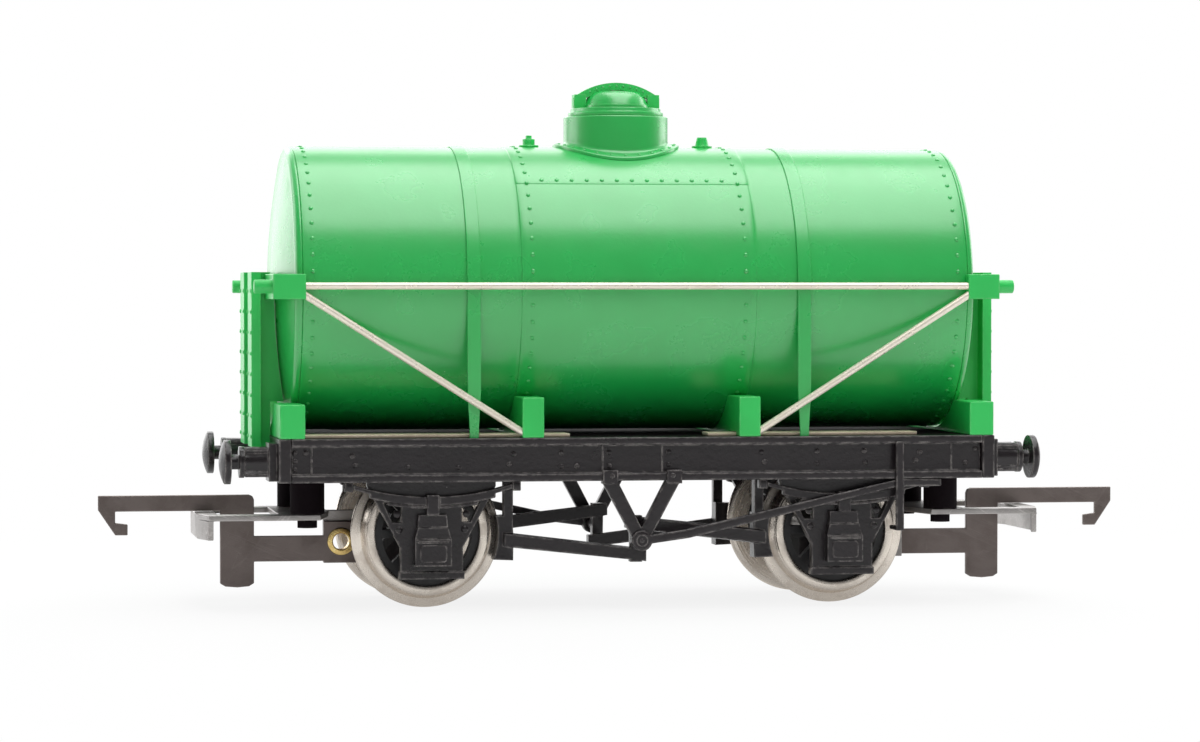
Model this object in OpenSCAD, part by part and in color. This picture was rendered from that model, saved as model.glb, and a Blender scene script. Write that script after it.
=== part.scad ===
// Model railway tank wagon, 1:76 scale, on a four-wheel underframe.
// +X runs along the wagon, +Y across it, +Z up. The origin lies on the floor under the wagon's middle.
// "right" is the +X end, "left" the -X end, "near" the -Y side and "far" the +Y side.
// The left end and the far side are the right end and the near side turned half a turn about Z.

/* [Wheels] */
// Distance between the two axles
wheelbase = 40; // [33:0.5:48]
// Radius over the wheel flange
flange_r = 7.2; // [6.9:0.05:7.5]
// Radius of the tread where it meets the flange
tread_root_r = 6.25; // [5.8:0.05:6.6]
// Radius of the tread at the wheel's front
tread_front_r = 5.85; // [5.5:0.05:6.2]
// Inner radius of the metal tyre
tyre_bore_r = 5.05; // [4.6:0.05:5.3]
// Distance between the backs of a pair of wheels
back_to_back = 14.4; // [13.8:0.1:14.8]
// Width of a tyre
tyre_w = 2.7; // [2.2:0.1:3.1]
// Width of the wheel flange
flange_w = 0.75; // [0.5:0.05:1]
// Radius of the axle
axle_r = 1; // [0.8:0.05:1.2]
// Radius of the journals at the axle's ends
journal_r = 0.5; // [0.4:0.05:0.6]
// Radius of the wheel hub
hub_r = 1.8; // [1.5:0.05:2.2]
// Width of a spoke
spoke_w = 0.8; // [0.6:0.05:1]
// Number of spokes
spoke_count = 8; // [6:1:10]

/* [Underframe] */
// Distance from an axle to the outer face of the nearest headstock
overhang = 14.7; // [13:0.1:17.6]
// Width over the solebars
frame_w = 30; // [28.5:0.1:36]
// Height of the solebars' undersides over the flange bottoms
frame_z = 12.4; // [12.4:0.1:14.8]
// Height of the solebars
sole_h = 4.15; // [3.9:0.05:5]
// Depth of the solebars, across the wagon
sole_depth = 3; // [2.5:0.1:3.6]
// Thickness of the solebars' flanges
sole_flange = 0.72; // [0.6:0.02:0.9]
// Depth of the hollow along the solebars' faces
sole_hollow = 0.8; // [0.6:0.05:1]
// Thickness of the headstocks
headstock_t = 1.2; // [1:0.05:1.5]
// Thickness of the floor
floor_t = 1.75; // [1.5:0.05:1.9]

/* [Axle guards] */
// Thickness of the guard plates
guard_t = 1.1; // [0.9:0.05:1.3]
// Width of a guard along the solebar
guard_top_w = 12.3; // [11.5:0.1:14]
// Width of a guard round its axlebox
guard_leg_w = 6; // [5.4:0.1:7]
// Width of the axlebox
box_w = 3.5; // [3:0.1:4.2]
// Depth of the axlebox, from the guard's face
box_depth = 1.4; // [1.1:0.05:1.7]
// Span of the leaf spring
spring_span = 16; // [14:0.5:19]
// Sag of the leaf spring
spring_sag = 1.3; // [1:0.05:1.6]
// Thickness of a leaf
leaf_t = 0.42; // [0.3:0.02:0.5]

/* [Buffers] */
// Distance between the two buffers' centres
buffer_gauge = 22.8; // [20:0.2:25]
// Length of a buffer, from the headstock to the head's face
buffer_len = 5.4; // [4.5:0.1:6.5]
// Radius of the buffer head
buffer_r = 2.1; // [1.8:0.05:2.5]

/* [Coupling] */
// Thickness of the coupling's steel
coupling_t = 0.55; // [0.4:0.05:0.65]
// Height of the coupling plate's underside
plate_z = 8.5; // [8.3:0.05:8.8]
// Width over the coupling plate
plate_w = 16.6; // [15.6:0.2:18]
// Distance from the headstock to the plate's front lip
lip_reach = 7; // [6.4:0.1:8.2]
// How far the lip's ends sweep back
lip_sweep = 0.9; // [0.4:0.1:1.4]
// Width of the lip's straight middle
lip_flat_w = 9.6; // [9:0.2:12]
// Height of the front lip
lip_h = 2.4; // [2:0.1:2.9]
// Distance from the headstock to the tip of the hook
hook_reach = 16.3; // [15:0.1:19.5]
// Distance from the headstock back to the hook's pivot
pivot_back = 7.3; // [6.6:0.1:8]
// Height of the hook's pivot
pivot_z = 6; // [5.6:0.1:6.3]
// Radius of the eyelet that the hook turns on
eyelet_r = 1.05; // [0.95:0.05:1.1]

/* [Tank] */
// Radius of the tank's outer plates
tank_r = 13.8; // [11.5:0.1:16.5]
// Distance from the headstock's outer face back to the tank's rim
tank_inset = 2.4; // [2.3:0.05:2.8]
// Step between the middle plate and the outer plates
lap = 0.1; // [0.05:0.01:0.15]
// Length of the middle plate
middle_len = 22.8; // [19:0.2:27]
// Bulge of the dished ends
dish = 1.3; // [0.8:0.05:1.4]
// Distance from the wagon's middle to a strap's middle
strap_x = 16.05; // [13.5:0.05:19]
// Width of a strap
strap_w = 1.3; // [1.1:0.05:1.6]
// Thickness of a strap
strap_t = 0.35; // [0.25:0.05:0.35]

/* [Dome and fittings] */
// Radius of the dome
dome_r = 5.15; // [4.3:0.05:5.3]
// Height of the dome over the tank's crown
dome_h = 3; // [2.5:0.1:3.6]
// Radius of the lid
lid_r = 4.7; // [4.2:0.05:5]
// Radius of the domed cap
cap_r = 2.95; // [2.5:0.05:3]
// Height to the top of the clamp, over the dome
clamp_h = 3.4; // [3.2:0.05:3.8]
// Distance from the wagon's middle to each vent
vent_x = 8.7; // [7.6:0.1:10]

/* [Seating] */
// Distance from the wagon's middle to a centre saddle's middle
saddle_x = 10.5; // [9:0.1:12.5]
// Thickness of a centre saddle
saddle_t = 2.1; // [1.8:0.05:2.5]
// Height of a centre saddle
saddle_h = 3.85; // [3.2:0.05:4.6]
// Thickness of an end cradle
cradle_t = 2.4; // [2:0.05:2.45]
// Height of an end cradle
cradle_h = 3.25; // [2.7:0.05:3.9]
// Height of the end beams
beam_h = 2.4; // [2:0.05:2.9]
// Width of an end post
post_w = 4.4; // [3.7:0.1:5.2]
// Distance from the wagon's middle to an end post's middle
post_y = 4.5; // [4:0.1:5.4]
// Thickness of the end posts' front plates
post_t = 0.9; // [0.75:0.05:1.1]
// Radius of the stay wires
wire_r = 0.345; // [0.29:0.005:0.36]
// Width of the steel strips on the deck
strip_w = 3; // [2.5:0.1:3.2]
// Thickness of the steel strips on the deck
strip_t = 0.35; // [0.3:0.05:0.4]

/* [Brakes] */
// Thickness of a brake shoe, along the wagon
shoe_t = 1.35; // [1.1:0.05:1.6]
// Height of a brake shoe
shoe_h = 4.2; // [3.5:0.1:5]
// Gap between a shoe and the tread
shoe_gap = 0.5; // [0.4:0.05:0.7]
// Distance between the feet of the brake vee
vee_w = 6.2; // [5.2:0.1:7.4]
// Width of a leg of the brake vee
vee_leg = 1.3; // [1.1:0.05:1.6]
// Distance from the axle out to the lever's guard
lever_guard_reach = 5.2; // [5:0.1:6.2]
// Length of the lever's handle past its guard
lever_handle = 4.2; // [3.5:0.1:5]

/* [Hidden] */
$fn = 96;
// Clearance between still pieces that face each other
fit = 0.05;
// Radial clearance of a running fit
running = 0.05;
// Overlap that joins two solids of one piece
bite = 0.02;

frame_half = wheelbase / 2 + overhang;
side_y = frame_w / 2;
sole_in_y = side_y - sole_depth;
deck_z = frame_z + sole_h;
floor_z = deck_z - floor_t;
inner_half = frame_half - headstock_t;

// Axle guards stand under the solebars, flush with their inner faces.
guard_face = sole_in_y + guard_t;
axle_z = flange_r;
wheel_back = back_to_back / 2;
wheel_front = wheel_back + tyre_w;
journal_end = guard_face - 0.15;
journal_start = sole_in_y - 0.35;
box_front = guard_face + box_depth;

// The lever runs inside its guard, which lies on the solebar's outer face.
lever_guard_x = wheelbase / 2 + lever_guard_reach;
lever_t = 0.45;
lever_h = 0.7;
lever_out = side_y - fit;
lever_in = lever_out - lever_t;
vee_t = 0.55;
vee_out = lever_in - fit;
vee_in = vee_out - vee_t;
rod_in = wheel_front + 0.7;
rod_out = rod_in + 1.1;
brake_z = 6.65;
brake_pin_r = 0.5;
strap_metal = 0.4;

buffer_z = 14.3;
buffer_plate = 3.6;
buffer_plate_t = 0.8;
buffer_body_r = 1.5;
buffer_neck_r = 0.7;
buffer_head_t = 0.6;
buffer_dome = 0.5;

// The coupling's plate, eyelet and hook stack up across the wagon's middle line.
lip_x = frame_half + lip_reach;
tip_x = frame_half + hook_reach;
pivot_x = frame_half - pivot_back;
plate_top = plate_z + coupling_t;
plate_band = 2.3;
window_back = frame_half - 0.7;
window_front = lip_x - 1.9;
tail_x = pivot_x - 1.5;
tab_y0 = -0.4;
tab_y1 = tab_y0 + coupling_t;
hook_y0 = tab_y1 + 2 * fit;
hook_y1 = hook_y0 + coupling_t;
peg_x = frame_half - 3.4;
peg_y = plate_w / 2 - 1.2;
peg_r = 1.65;
stud_r = 0.6;
stud_head_r = 0.95;
stud_head_h = 0.75;

// The tank lies on the saddles, a little clear of the deck.
belly_gap = 0.32;
middle_r = tank_r + lap;
tank_z = deck_z + belly_gap + middle_r;
rim_x = frame_half - tank_inset;
rim_round = 0.7;
crown_z = tank_z + middle_r;
dome_top = crown_z + dome_h;

// Saddles and beams reach just past the tank's sides.
seat_y = tank_r + 1.2;
beam_out = tank_r + 1.1;
beam_in = tank_r + fit;
wire_y = beam_out - wire_r;
beam_z0 = tank_z - 1.05;
beam_z1 = beam_z0 + beam_h;
plank_x0 = rim_x + rim_round + dish + 0.1;
plank_x1 = plank_x0 + 0.8;
block_x0 = rim_x - 0.2;
cradle_x1 = frame_half - 0.1;
cradle_x0 = cradle_x1 - cradle_t;
post_x1 = frame_half + 1.9;
post_x0 = post_x1 - post_t;
post_z0 = deck_z - 1.05;
post_top = beam_z1 + 0.2;
// The strips lie under the tank's sides, and stay inside the deck's edges.
strip_out = min(tank_r - 0.5, side_y - 1.7);
strip_in = strip_out - strip_w;

PLASTIC = "dimgray";
PAINT = "limegreen";
STEEL = "silver";
BLACKENED = "slategray";

// ---- Helpers ----

// A box between two corners.
module block(x0, x1, y0, y1, z0, z1) {
    translate([x0, y0, z0])
        cube([x1 - x0, y1 - y0, z1 - z0]);
}

// A flat shape drawn in X and Z, made solid from y0 to y1.
module upright(y0, y1) {
    translate([0, y1, 0])
        rotate([90, 0, 0])
            linear_extrude(y1 - y0)
                children();
}

// A flat shape drawn in Y and Z, made solid from x0 to x1.
module section(x0, x1) {
    translate([x0, 0, 0])
        rotate([90, 0, 90])
            linear_extrude(x1 - x0)
                children();
}

// A shape turned about the X axis: the profile holds [radius, x] points.
module turned_x(profile) {
    rotate([0, 90, 0])
        rotate_extrude()
            polygon(profile);
}

// A shape turned about the Y axis: the profile holds [radius, y] points.
module turned_y(profile) {
    rotate([-90, 0, 0])
        rotate_extrude()
            polygon(profile);
}

// A round bar along X through the tank's axis height.
module tank_round(r, x0, x1) {
    translate([x0, 0, tank_z])
        rotate([0, 90, 0])
            cylinder(r = r, h = x1 - x0);
}

// The whole room that the tank fills, for cutting seats to it.
module tank_room() {
    tank_round(middle_r + fit, -frame_half, frame_half);
}

// The right end's pieces at either end: end = 1 is right, end = -1 is left.
module at_end(end) {
    rotate([0, 0, end < 0 ? 180 : 0])
        children();
}

// The near side's pieces on either side: side = -1 is near, side = 1 is far.
module at_side(side) {
    rotate([0, 0, side > 0 ? 180 : 0])
        children();
}

// A near piece drawn round an axle, placed at one of the four wheels.
module at_wheel(end, side) {
    translate([end * wheelbase / 2, 0, 0])
        mirror([0, side > 0 ? 1 : 0, 0])
            children();
}

// The height of a shallow cap over its rim, at distance r from its middle.
function cap_height(r, rim, rise) =
    let (ball = (rim * rim + rise * rise) / (2 * rise))
    sqrt(ball * ball - r * r) - (ball - rise);

// Points of a shallow cap's profile from its rim to its middle: [radius, height].
function cap_points(rim, rise, base, steps = 8) = [
    for (i = [0 : steps])
        let (r = rim * (1 - i / steps))
        [r, base + cap_height(r, rim, rise)]
];

// The two edges of a bent bar: its centre line moved up and down by half its height.
function bar_outline(line, half) = concat(
    [for (p = line) p + [0, half]],
    [for (i = [len(line) - 1 : -1 : 0]) line[i] - [0, half]]
);

// ---- Underframe ----

module floor() {
    color(PLASTIC) {
        block(-inner_half, inner_half, -sole_in_y, sole_in_y, floor_z, deck_z);
        for (x = [-peg_x, peg_x], y = [-peg_y, peg_y])
            translate([x, y, 0])
                coupling_peg();
    }
}

// A peg under the floor, with a stud whose spread head holds the coupling plate.
module coupling_peg() {
    translate([0, 0, plate_top])
        cylinder(r = peg_r, h = floor_z + bite - plate_top);
    translate([0, 0, plate_z - bite])
        cylinder(r = stud_r, h = coupling_t + 2 * bite);
    translate([0, 0, plate_z - stud_head_h])
        cylinder(r = stud_head_r, h = stud_head_h);
}

module solebar() {
    color(PLASTIC)
        section(-inner_half, inner_half)
            polygon([
                [-sole_in_y, frame_z],
                [-sole_in_y, deck_z],
                [-side_y, deck_z],
                [-side_y, deck_z - sole_flange],
                [-side_y + sole_hollow, deck_z - sole_flange],
                [-side_y + sole_hollow, frame_z + sole_flange],
                [-side_y, frame_z + sole_flange],
                [-side_y, frame_z],
            ]);
}

module headstock() {
    color(PLASTIC)
        block(inner_half, frame_half, -side_y, side_y, frame_z, deck_z);
}

// ---- Buffers ----

module buffers() {
    color(PLASTIC)
        for (y = [-buffer_gauge / 2, buffer_gauge / 2])
            translate([frame_half, y, buffer_z])
                buffer();
}

// One buffer: a square foot, a ribbed body with a collar, a neck and a domed head.
module buffer() {
    head_x = buffer_len - buffer_dome - buffer_head_t;
    collar_x = head_x - 1.3;
    block(0, buffer_plate_t, -buffer_plate / 2, buffer_plate / 2, -buffer_plate / 2, buffer_plate / 2);
    turned_x(concat(
        [
            [0, bite],
            [buffer_body_r, bite],
            [buffer_body_r - 0.12, collar_x],
            [buffer_body_r, collar_x],
            [buffer_body_r, collar_x + 0.5],
            [buffer_neck_r, collar_x + 0.5],
            [buffer_neck_r, head_x],
            [buffer_r, head_x],
        ],
        cap_points(buffer_r, buffer_dome, head_x + buffer_head_t)
    ));
    for (a = [45, 135, 225, 315])
        rotate([a, 0, 0])
            block(bite, collar_x, -0.2, 0.2, 0, buffer_body_r + 0.3);
}

// ---- Axle guards, axleboxes and springs: near side, round an axle at X = 0 ----

module axle_guard() {
    half_top = guard_top_w / 2;
    half_leg = guard_leg_w / 2;
    slot_in = box_w / 2 + 1.15;
    color(PLASTIC) {
        difference() {
            upright(-guard_face, -sole_in_y)
                difference() {
                    polygon([
                        [-half_top, frame_z],
                        [-half_top, frame_z - 0.5],
                        [-half_leg, axle_z - 1.1],
                        [-half_leg, axle_z - 4],
                        [half_leg, axle_z - 4],
                        [half_leg, axle_z - 1.1],
                        [half_top, frame_z - 0.5],
                        [half_top, frame_z],
                    ]);
                    for (s = [-1, 1])
                        polygon([
                            [s * slot_in, frame_z - 2],
                            [s * (half_top - 1.5), frame_z - 2],
                            [s * (half_leg + 0.75), axle_z + 1.3],
                            [s * slot_in, axle_z + 1.3],
                        ]);
                }
            translate([0, 0, axle_z])
                turned_y([
                    [0, -guard_face - 1],
                    [journal_r + running, -guard_face - 1],
                    [journal_r + running, -sole_in_y + 1],
                    [0, -sole_in_y + 1],
                ]);
        }
        keeper_bar();
    }
}

// The bar that ties the guard's legs under the axlebox.
module keeper_bar() {
    block(-guard_leg_w / 2 - 0.1, guard_leg_w / 2 + 0.1, -guard_face - 0.3, -sole_in_y, axle_z - 4.1, axle_z - 3.4);
}

module axlebox() {
    half = box_w / 2;
    waist = half - 0.3;
    top = waist - 0.1;
    color(PLASTIC) {
        upright(-box_front, -guard_face)
            polygon([
                [-half, axle_z - 2.8],
                [half, axle_z - 2.8],
                [half, axle_z - 0.25],
                [-half, axle_z - 0.25],
            ]);
        upright(-box_front + 0.3, -guard_face)
            polygon([
                [-half, axle_z - 0.27],
                [half, axle_z - 0.27],
                [waist, axle_z + 0.85],
                [-waist, axle_z + 0.85],
            ]);
        upright(-box_front + 0.6, -guard_face)
            polygon([
                [-waist, axle_z + 0.83],
                [waist, axle_z + 0.83],
                [top, axle_z + 2.05],
                [-top, axle_z + 2.05],
            ]);
    }
}

// The spring hangs between two shoes under the solebar and sits on the axlebox with its buckle.
module leaf_spring() {
    half = spring_span / 2;
    low_z = frame_z - 0.55 - spring_sag;
    bend_r = (half * half + spring_sag * spring_sag) / (2 * spring_sag);
    front = guard_face + 1;
    color(PLASTIC) {
        upright(-front, -guard_face)
            for (i = [0, 1])
                intersection() {
                    translate([0, low_z - i * leaf_t + bend_r])
                        difference() {
                            circle(r = bend_r);
                            circle(r = bend_r - leaf_t - bite);
                        }
                    translate([-half + 2 * i, low_z - 2])
                        square([spring_span - 4 * i, 4]);
                }
        for (s = [-1, 1])
            block(s * half - 0.4, s * half + 0.4, -front - 0.15, -guard_face, frame_z - 0.9, frame_z);
        block(-0.6, 0.6, -front - 0.2, -guard_face, axle_z + 2.05, low_z + leaf_t + 0.2);
    }
}

// ---- Brake gear: near side ----

module brake_vee() {
    foot_x = vee_w / 2;
    color(PLASTIC) {
        difference() {
            upright(-vee_out, -vee_in)
                union() {
                    for (s = [-1, 1])
                        polygon([
                            [s * (foot_x - vee_leg / 2), frame_z],
                            [s * (foot_x + vee_leg / 2), frame_z],
                            [s * vee_leg / 2, brake_z],
                            [-s * vee_leg / 2, brake_z],
                        ]);
                    translate([0, brake_z])
                        circle(r = brake_pin_r + 0.4);
                }
            brake_pin(brake_pin_r + fit, -lever_out - 1, -rod_out);
        }
        for (s = [-1, 1])
            vee_foot(s * foot_x);
    }
}

// A foot of the vee, bolted over the solebar's lower flange.
module vee_foot(x) {
    block(x - vee_leg / 2, x + vee_leg / 2, -side_y - 0.2, -side_y, frame_z, frame_z + 0.95);
    block(x - vee_leg / 2, x + vee_leg / 2, -side_y - 0.2, -vee_in, frame_z - 0.2, frame_z);
}

// The brake's cross pin, from y0 to y1.
module brake_pin(r, y0, y1) {
    translate([0, y0, brake_z])
        rotate([-90, 0, 0])
            cylinder(r = r, h = y1 - y0);
}

module brake_lever() {
    handle_z = frame_z - fit - lever_h / 2;
    line = [
        [0, brake_z],
        [4.5, brake_z + 0.65],
        [lever_guard_x, handle_z],
        [lever_guard_x + lever_handle, handle_z],
    ];
    color(PLASTIC)
        difference() {
            union() {
                upright(-lever_out, -lever_in)
                    polygon(bar_outline(line, lever_h / 2));
                brake_pin(brake_pin_r + 0.4, -lever_out, -lever_in);
            }
            brake_pin(brake_pin_r + fit, -lever_out - 1, -vee_in);
        }
}

// The guard is a strap down the solebar's face that turns in under the lever.
module lever_guard() {
    x0 = lever_guard_x - 0.4;
    x1 = lever_guard_x + 0.4;
    low_z = frame_z - 5;
    color(PLASTIC) {
        block(x0, x1, -side_y - strap_metal, -side_y, low_z, deck_z - 0.55);
        block(x0, x1, -side_y - strap_metal, -side_y + 2.4, low_z, low_z + strap_metal);
    }
}

// Two shoes on hangers, with a rod from each to the tumbler on the cross pin.
module brake_shoes() {
    rise = 1.6;
    lap_out = 0.9;
    color(PLASTIC) {
        for (s = [-1, 1]) {
            brake_shoe(s);
            upright(-rod_out, -rod_in + bite)
                polygon([
                    [s * (shoe_x(shoe_t) + lap_out), brake_z - 0.6],
                    [s * (shoe_x(shoe_t) + lap_out), brake_z + 0.6],
                    [-s * lap_out, brake_z + s * rise + 0.5],
                    [-s * lap_out, brake_z + s * rise - 0.5],
                ]);
        }
        block(-0.5, 0.5, -rod_out, -rod_in, brake_z - rise - 0.55, brake_z + rise + 0.55);
        brake_pin(brake_pin_r, -lever_out, -rod_in);
    }
}

// Where a shoe's back lies on the right, for a shoe that is t thick.
function shoe_x(t) = wheelbase / 2 - tread_root_r - shoe_gap - t;

module brake_shoe(s) {
    back = shoe_x(shoe_t);
    upright(-rod_in, -wheel_front + 1.3)
        difference() {
            polygon([
                [s * back, axle_z - 0.4 - shoe_h / 2],
                [s * (back + 2.6), axle_z - 0.4 - shoe_h / 2],
                [s * (back + 2.6), axle_z - 0.4 + shoe_h / 2],
                [s * back, axle_z - 0.4 + shoe_h / 2],
            ]);
            translate([s * wheelbase / 2, axle_z])
                circle(r = tread_root_r + shoe_gap);
        }
    upright(-rod_in, -rod_in + 1)
        polygon([
            [s * back, axle_z],
            [s * (back + 0.85), axle_z],
            [s * (back + 0.85), floor_z],
            [s * back, floor_z],
        ]);
}

// ---- Couplings: right end ----

// The plate is a closed loop with a lip in front and a tab bent down for the hook.
module coupling_plate() {
    half = plate_w / 2;
    flat = lip_flat_w / 2;
    lip_end = half - 0.3;
    end_x = lip_x - lip_sweep * (lip_end - flat) / (half - flat);
    color(BLACKENED)
        difference() {
            union() {
                translate([0, 0, plate_z])
                    linear_extrude(coupling_t)
                        polygon([
                            [lip_x, flat],
                            [lip_x - lip_sweep, half],
                            [peg_x - 1.2, half],
                            [pivot_x + 1.3, 1.6],
                            [pivot_x + 1.3, -1.6],
                            [peg_x - 1.2, -half],
                            [lip_x - lip_sweep, -half],
                            [lip_x, -flat],
                        ]);
                translate([0, 0, plate_top - lip_h])
                    linear_extrude(lip_h)
                        polygon([
                            [lip_x, flat],
                            [end_x, lip_end],
                            [end_x - coupling_t, lip_end],
                            [lip_x - coupling_t, flat],
                            [lip_x - coupling_t, -flat],
                            [end_x - coupling_t, -lip_end],
                            [end_x, -lip_end],
                            [lip_x, -flat],
                        ]);
                block(tail_x, pivot_x + 1.7, tab_y0, tab_y1, pivot_z - 2.1, plate_top);
            }
            block(window_back, window_front, -half + plate_band, half - plate_band, plate_z - 1, plate_top + 1);
            for (y = [-peg_y, peg_y])
                translate([peg_x, y, plate_z - 1])
                    cylinder(r = stud_r + fit, h = coupling_t + 2);
            pivot_bore(eyelet_r + fit / 5);
        }
}

// A round hole across the wagon through the hook's pivot.
module pivot_bore(r) {
    translate([pivot_x, -3, pivot_z])
        rotate([-90, 0, 0])
            cylinder(r = r, h = 6);
}

// A brass eyelet through the tab and the hook, spread at both ends.
module coupling_eyelet() {
    rim = eyelet_r + 0.3;
    bore = eyelet_r - 0.25;
    rim_t = 0.2;
    color("goldenrod")
        translate([pivot_x, 0, pivot_z])
            turned_y([
                [bore, tab_y0 - rim_t],
                [rim, tab_y0 - rim_t],
                [rim, tab_y0],
                [eyelet_r, tab_y0],
                [eyelet_r, hook_y1 + fit],
                [rim, hook_y1 + fit],
                [rim, hook_y1 + fit + rim_t],
                [bore, hook_y1 + fit + rim_t],
            ]);
}

// The hook is one flat plate: a tail on the pivot, a deep tongue and a long arm with a barb.
module coupling_hook() {
    arm_z = plate_top + fit;
    top_z = arm_z + 1.55;
    barb_x = tip_x - 1.65;
    tongue_out = window_front - 0.6;
    tongue_in = tongue_out - 3.3;
    color(BLACKENED)
        difference() {
            upright(hook_y0, hook_y1)
                polygon([
                    [tongue_in, top_z - 0.5],
                    [tongue_in + 0.15, top_z - 0.15],
                    [tongue_in + 0.5, top_z],
                    [tip_x, top_z],
                    [tip_x, top_z - 1.4],
                    [barb_x, arm_z - 2.3],
                    [barb_x - 1.2, arm_z - 2.3],
                    [barb_x - 1.2, arm_z - 1.25],
                    [barb_x, arm_z - 1.1],
                    [barb_x, arm_z],
                    [tongue_out, arm_z],
                    [tongue_out, 2],
                    [tongue_out - 0.5, 1.7],
                    [(tongue_out + tongue_in) / 2, 1.6],
                    [tongue_in + 0.5, 1.7],
                    [tongue_in, 2],
                    [tongue_in, pivot_z - 1.9],
                    [pivot_x + 1.7, pivot_z - 1.9],
                    [pivot_x + 1.7, pivot_z - 2.1],
                    [tail_x, pivot_z - 2.1],
                    [tail_x, plate_z - 0.5],
                    [pivot_x + 1.7, plate_z - 0.5],
                    [pivot_x + 1.7, pivot_z + 0.6],
                    [tongue_in, pivot_z + 0.6],
                ]);
            pivot_bore(eyelet_r + running);
        }
}

// ---- Wheelsets: round an axle at X = 0 ----

module at_axle(end) {
    translate([end * wheelbase / 2, 0, axle_z])
        children();
}

// The axle carries the wheels and ends in journals with pointed tips.
module axle() {
    tip = 0.05;
    half = [
        [axle_r, journal_start - 0.5],
        [journal_r, journal_start],
        [journal_r, journal_end - 0.45],
        [tip, journal_end],
        [0, journal_end],
    ];
    color(STEEL)
        turned_y(concat(
            [for (i = [4 : -1 : 0]) [half[i][0], -half[i][1]]],
            half
        ));
}

// A spoked centre on each side of the axle.
module wheel_centres() {
    ring_r = tyre_bore_r - fit / 5;
    y0 = wheel_back + 0.6;
    y1 = wheel_front - 0.6;
    hub_y1 = wheel_front + 0.4;
    color(PLASTIC)
        for (s = [0, 1])
            mirror([0, s, 0])
                difference() {
                    union() {
                        turned_y([
                            [0, wheel_back - 0.3],
                            [hub_r, wheel_back - 0.3],
                            [hub_r, hub_y1 - 0.2],
                            [hub_r - 0.3, hub_y1],
                            [0, hub_y1],
                        ]);
                        turned_y([
                            [ring_r - 0.7, y0],
                            [ring_r, y0],
                            [ring_r, y1],
                            [ring_r - 0.7, y1],
                        ]);
                        for (a = [0 : 360 / spoke_count : 359])
                            rotate([0, a, 0])
                                block(hub_r - 0.3, ring_r - 0.3, y0 + 0.1, y1 - 0.1, -spoke_w / 2, spoke_w / 2);
                    }
                    rotate([-90, 0, 0])
                        cylinder(r = axle_r + fit / 5, h = 3 * wheel_front);
                }
}

// A metal tyre on each side of the axle, with a coned tread and a rounded flange.
module tyres() {
    color(STEEL)
        for (s = [0, 1])
            mirror([0, s, 0])
                turned_y([
                    [tyre_bore_r, wheel_back],
                    [flange_r - 0.5, wheel_back],
                    [flange_r - 0.12, wheel_back + 0.12],
                    [flange_r, wheel_back + 0.35],
                    [flange_r - 0.12, wheel_back + 0.55],
                    [tread_root_r + 0.15, wheel_back + flange_w],
                    [tread_root_r, wheel_back + flange_w + 0.15],
                    [tread_front_r, wheel_front - 0.1],
                    [tread_front_r - 0.1, wheel_front],
                    [tyre_bore_r, wheel_front],
                ]);
}

// ---- Tank ----

// Three plates in a row: the middle one laps over the two outer ones.
module tank_barrel() {
    color(PAINT) {
        tank_round(tank_r, -rim_x, rim_x);
        tank_round(middle_r, -middle_len / 2, middle_len / 2);
    }
}

module tank_end() {
    round_points = [
        for (a = [0 : 15 : 90])
            [tank_r - rim_round + rim_round * cos(a), rim_x + rim_round * sin(a)]
    ];
    color(PAINT)
        translate([0, 0, tank_z])
            turned_x(concat(
                [[0, rim_x]],
                round_points,
                cap_points(tank_r - rim_round - bite, dish, rim_x + rim_round, 12)
            ));
}

// A strap goes over the tank and straight down to the deck, where it is narrower.
// Where the tank is wider than the deck, its toes turn in to reach the deck.
module tank_strap() {
    out_r = tank_r + strap_t;
    foot_z = deck_z + 5;
    toe_y = min(tank_r, side_y - 2 * strap_t);
    color(PAINT)
        difference() {
            union() {
                tank_round(out_r, strap_x - strap_w / 2, strap_x + strap_w / 2);
                block(strap_x - strap_w / 2, strap_x + strap_w / 2, -out_r, out_r, foot_z, tank_z);
                block(strap_x - strap_w / 3, strap_x + strap_w / 3, -out_r, out_r, deck_z, foot_z);
            }
            tank_round(tank_r, 0, frame_half);
            block(0, frame_half, -toe_y, toe_y, 0, deck_z + strap_t);
            block(0, frame_half, -tank_r, tank_r, deck_z + strap_t, tank_z);
        }
}

// ---- Dome and fittings ----

// What stands on the tank's crown is cut to the middle plate.
module on_crown() {
    difference() {
        union()
            children();
        tank_round(middle_r, -frame_half, frame_half);
    }
}

// A round stem from inside the tank up to the height top_z.
module stem(r, top_z) {
    translate([0, 0, tank_z])
        cylinder(r = r, h = top_z - tank_z);
}

// A flange of radius r that follows the tank round a fitting.
module crown_flange(r, t) {
    intersection() {
        translate([0, 0, tank_z])
            cylinder(r = r, h = dome_top - tank_z);
        tank_round(middle_r + t, -frame_half, frame_half);
    }
}

module dome() {
    color(PAINT)
        on_crown() {
            stem(dome_r, dome_top);
            crown_flange(dome_r + 1.1, 0.3);
        }
}

module dome_lid() {
    color(PAINT)
        translate([0, 0, dome_top])
            rotate_extrude()
                polygon(concat(
                    [
                        [0, 0],
                        [lid_r, 0],
                        [lid_r, 0.45],
                        [lid_r - 0.25, 0.6],
                        [lid_r - 0.25, 0.85],
                        [cap_r + 0.08, 0.85],
                        [cap_r + 0.08, 1.2],
                    ],
                    cap_points(cap_r, 1.35, 1.2)
                ));
}

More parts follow.
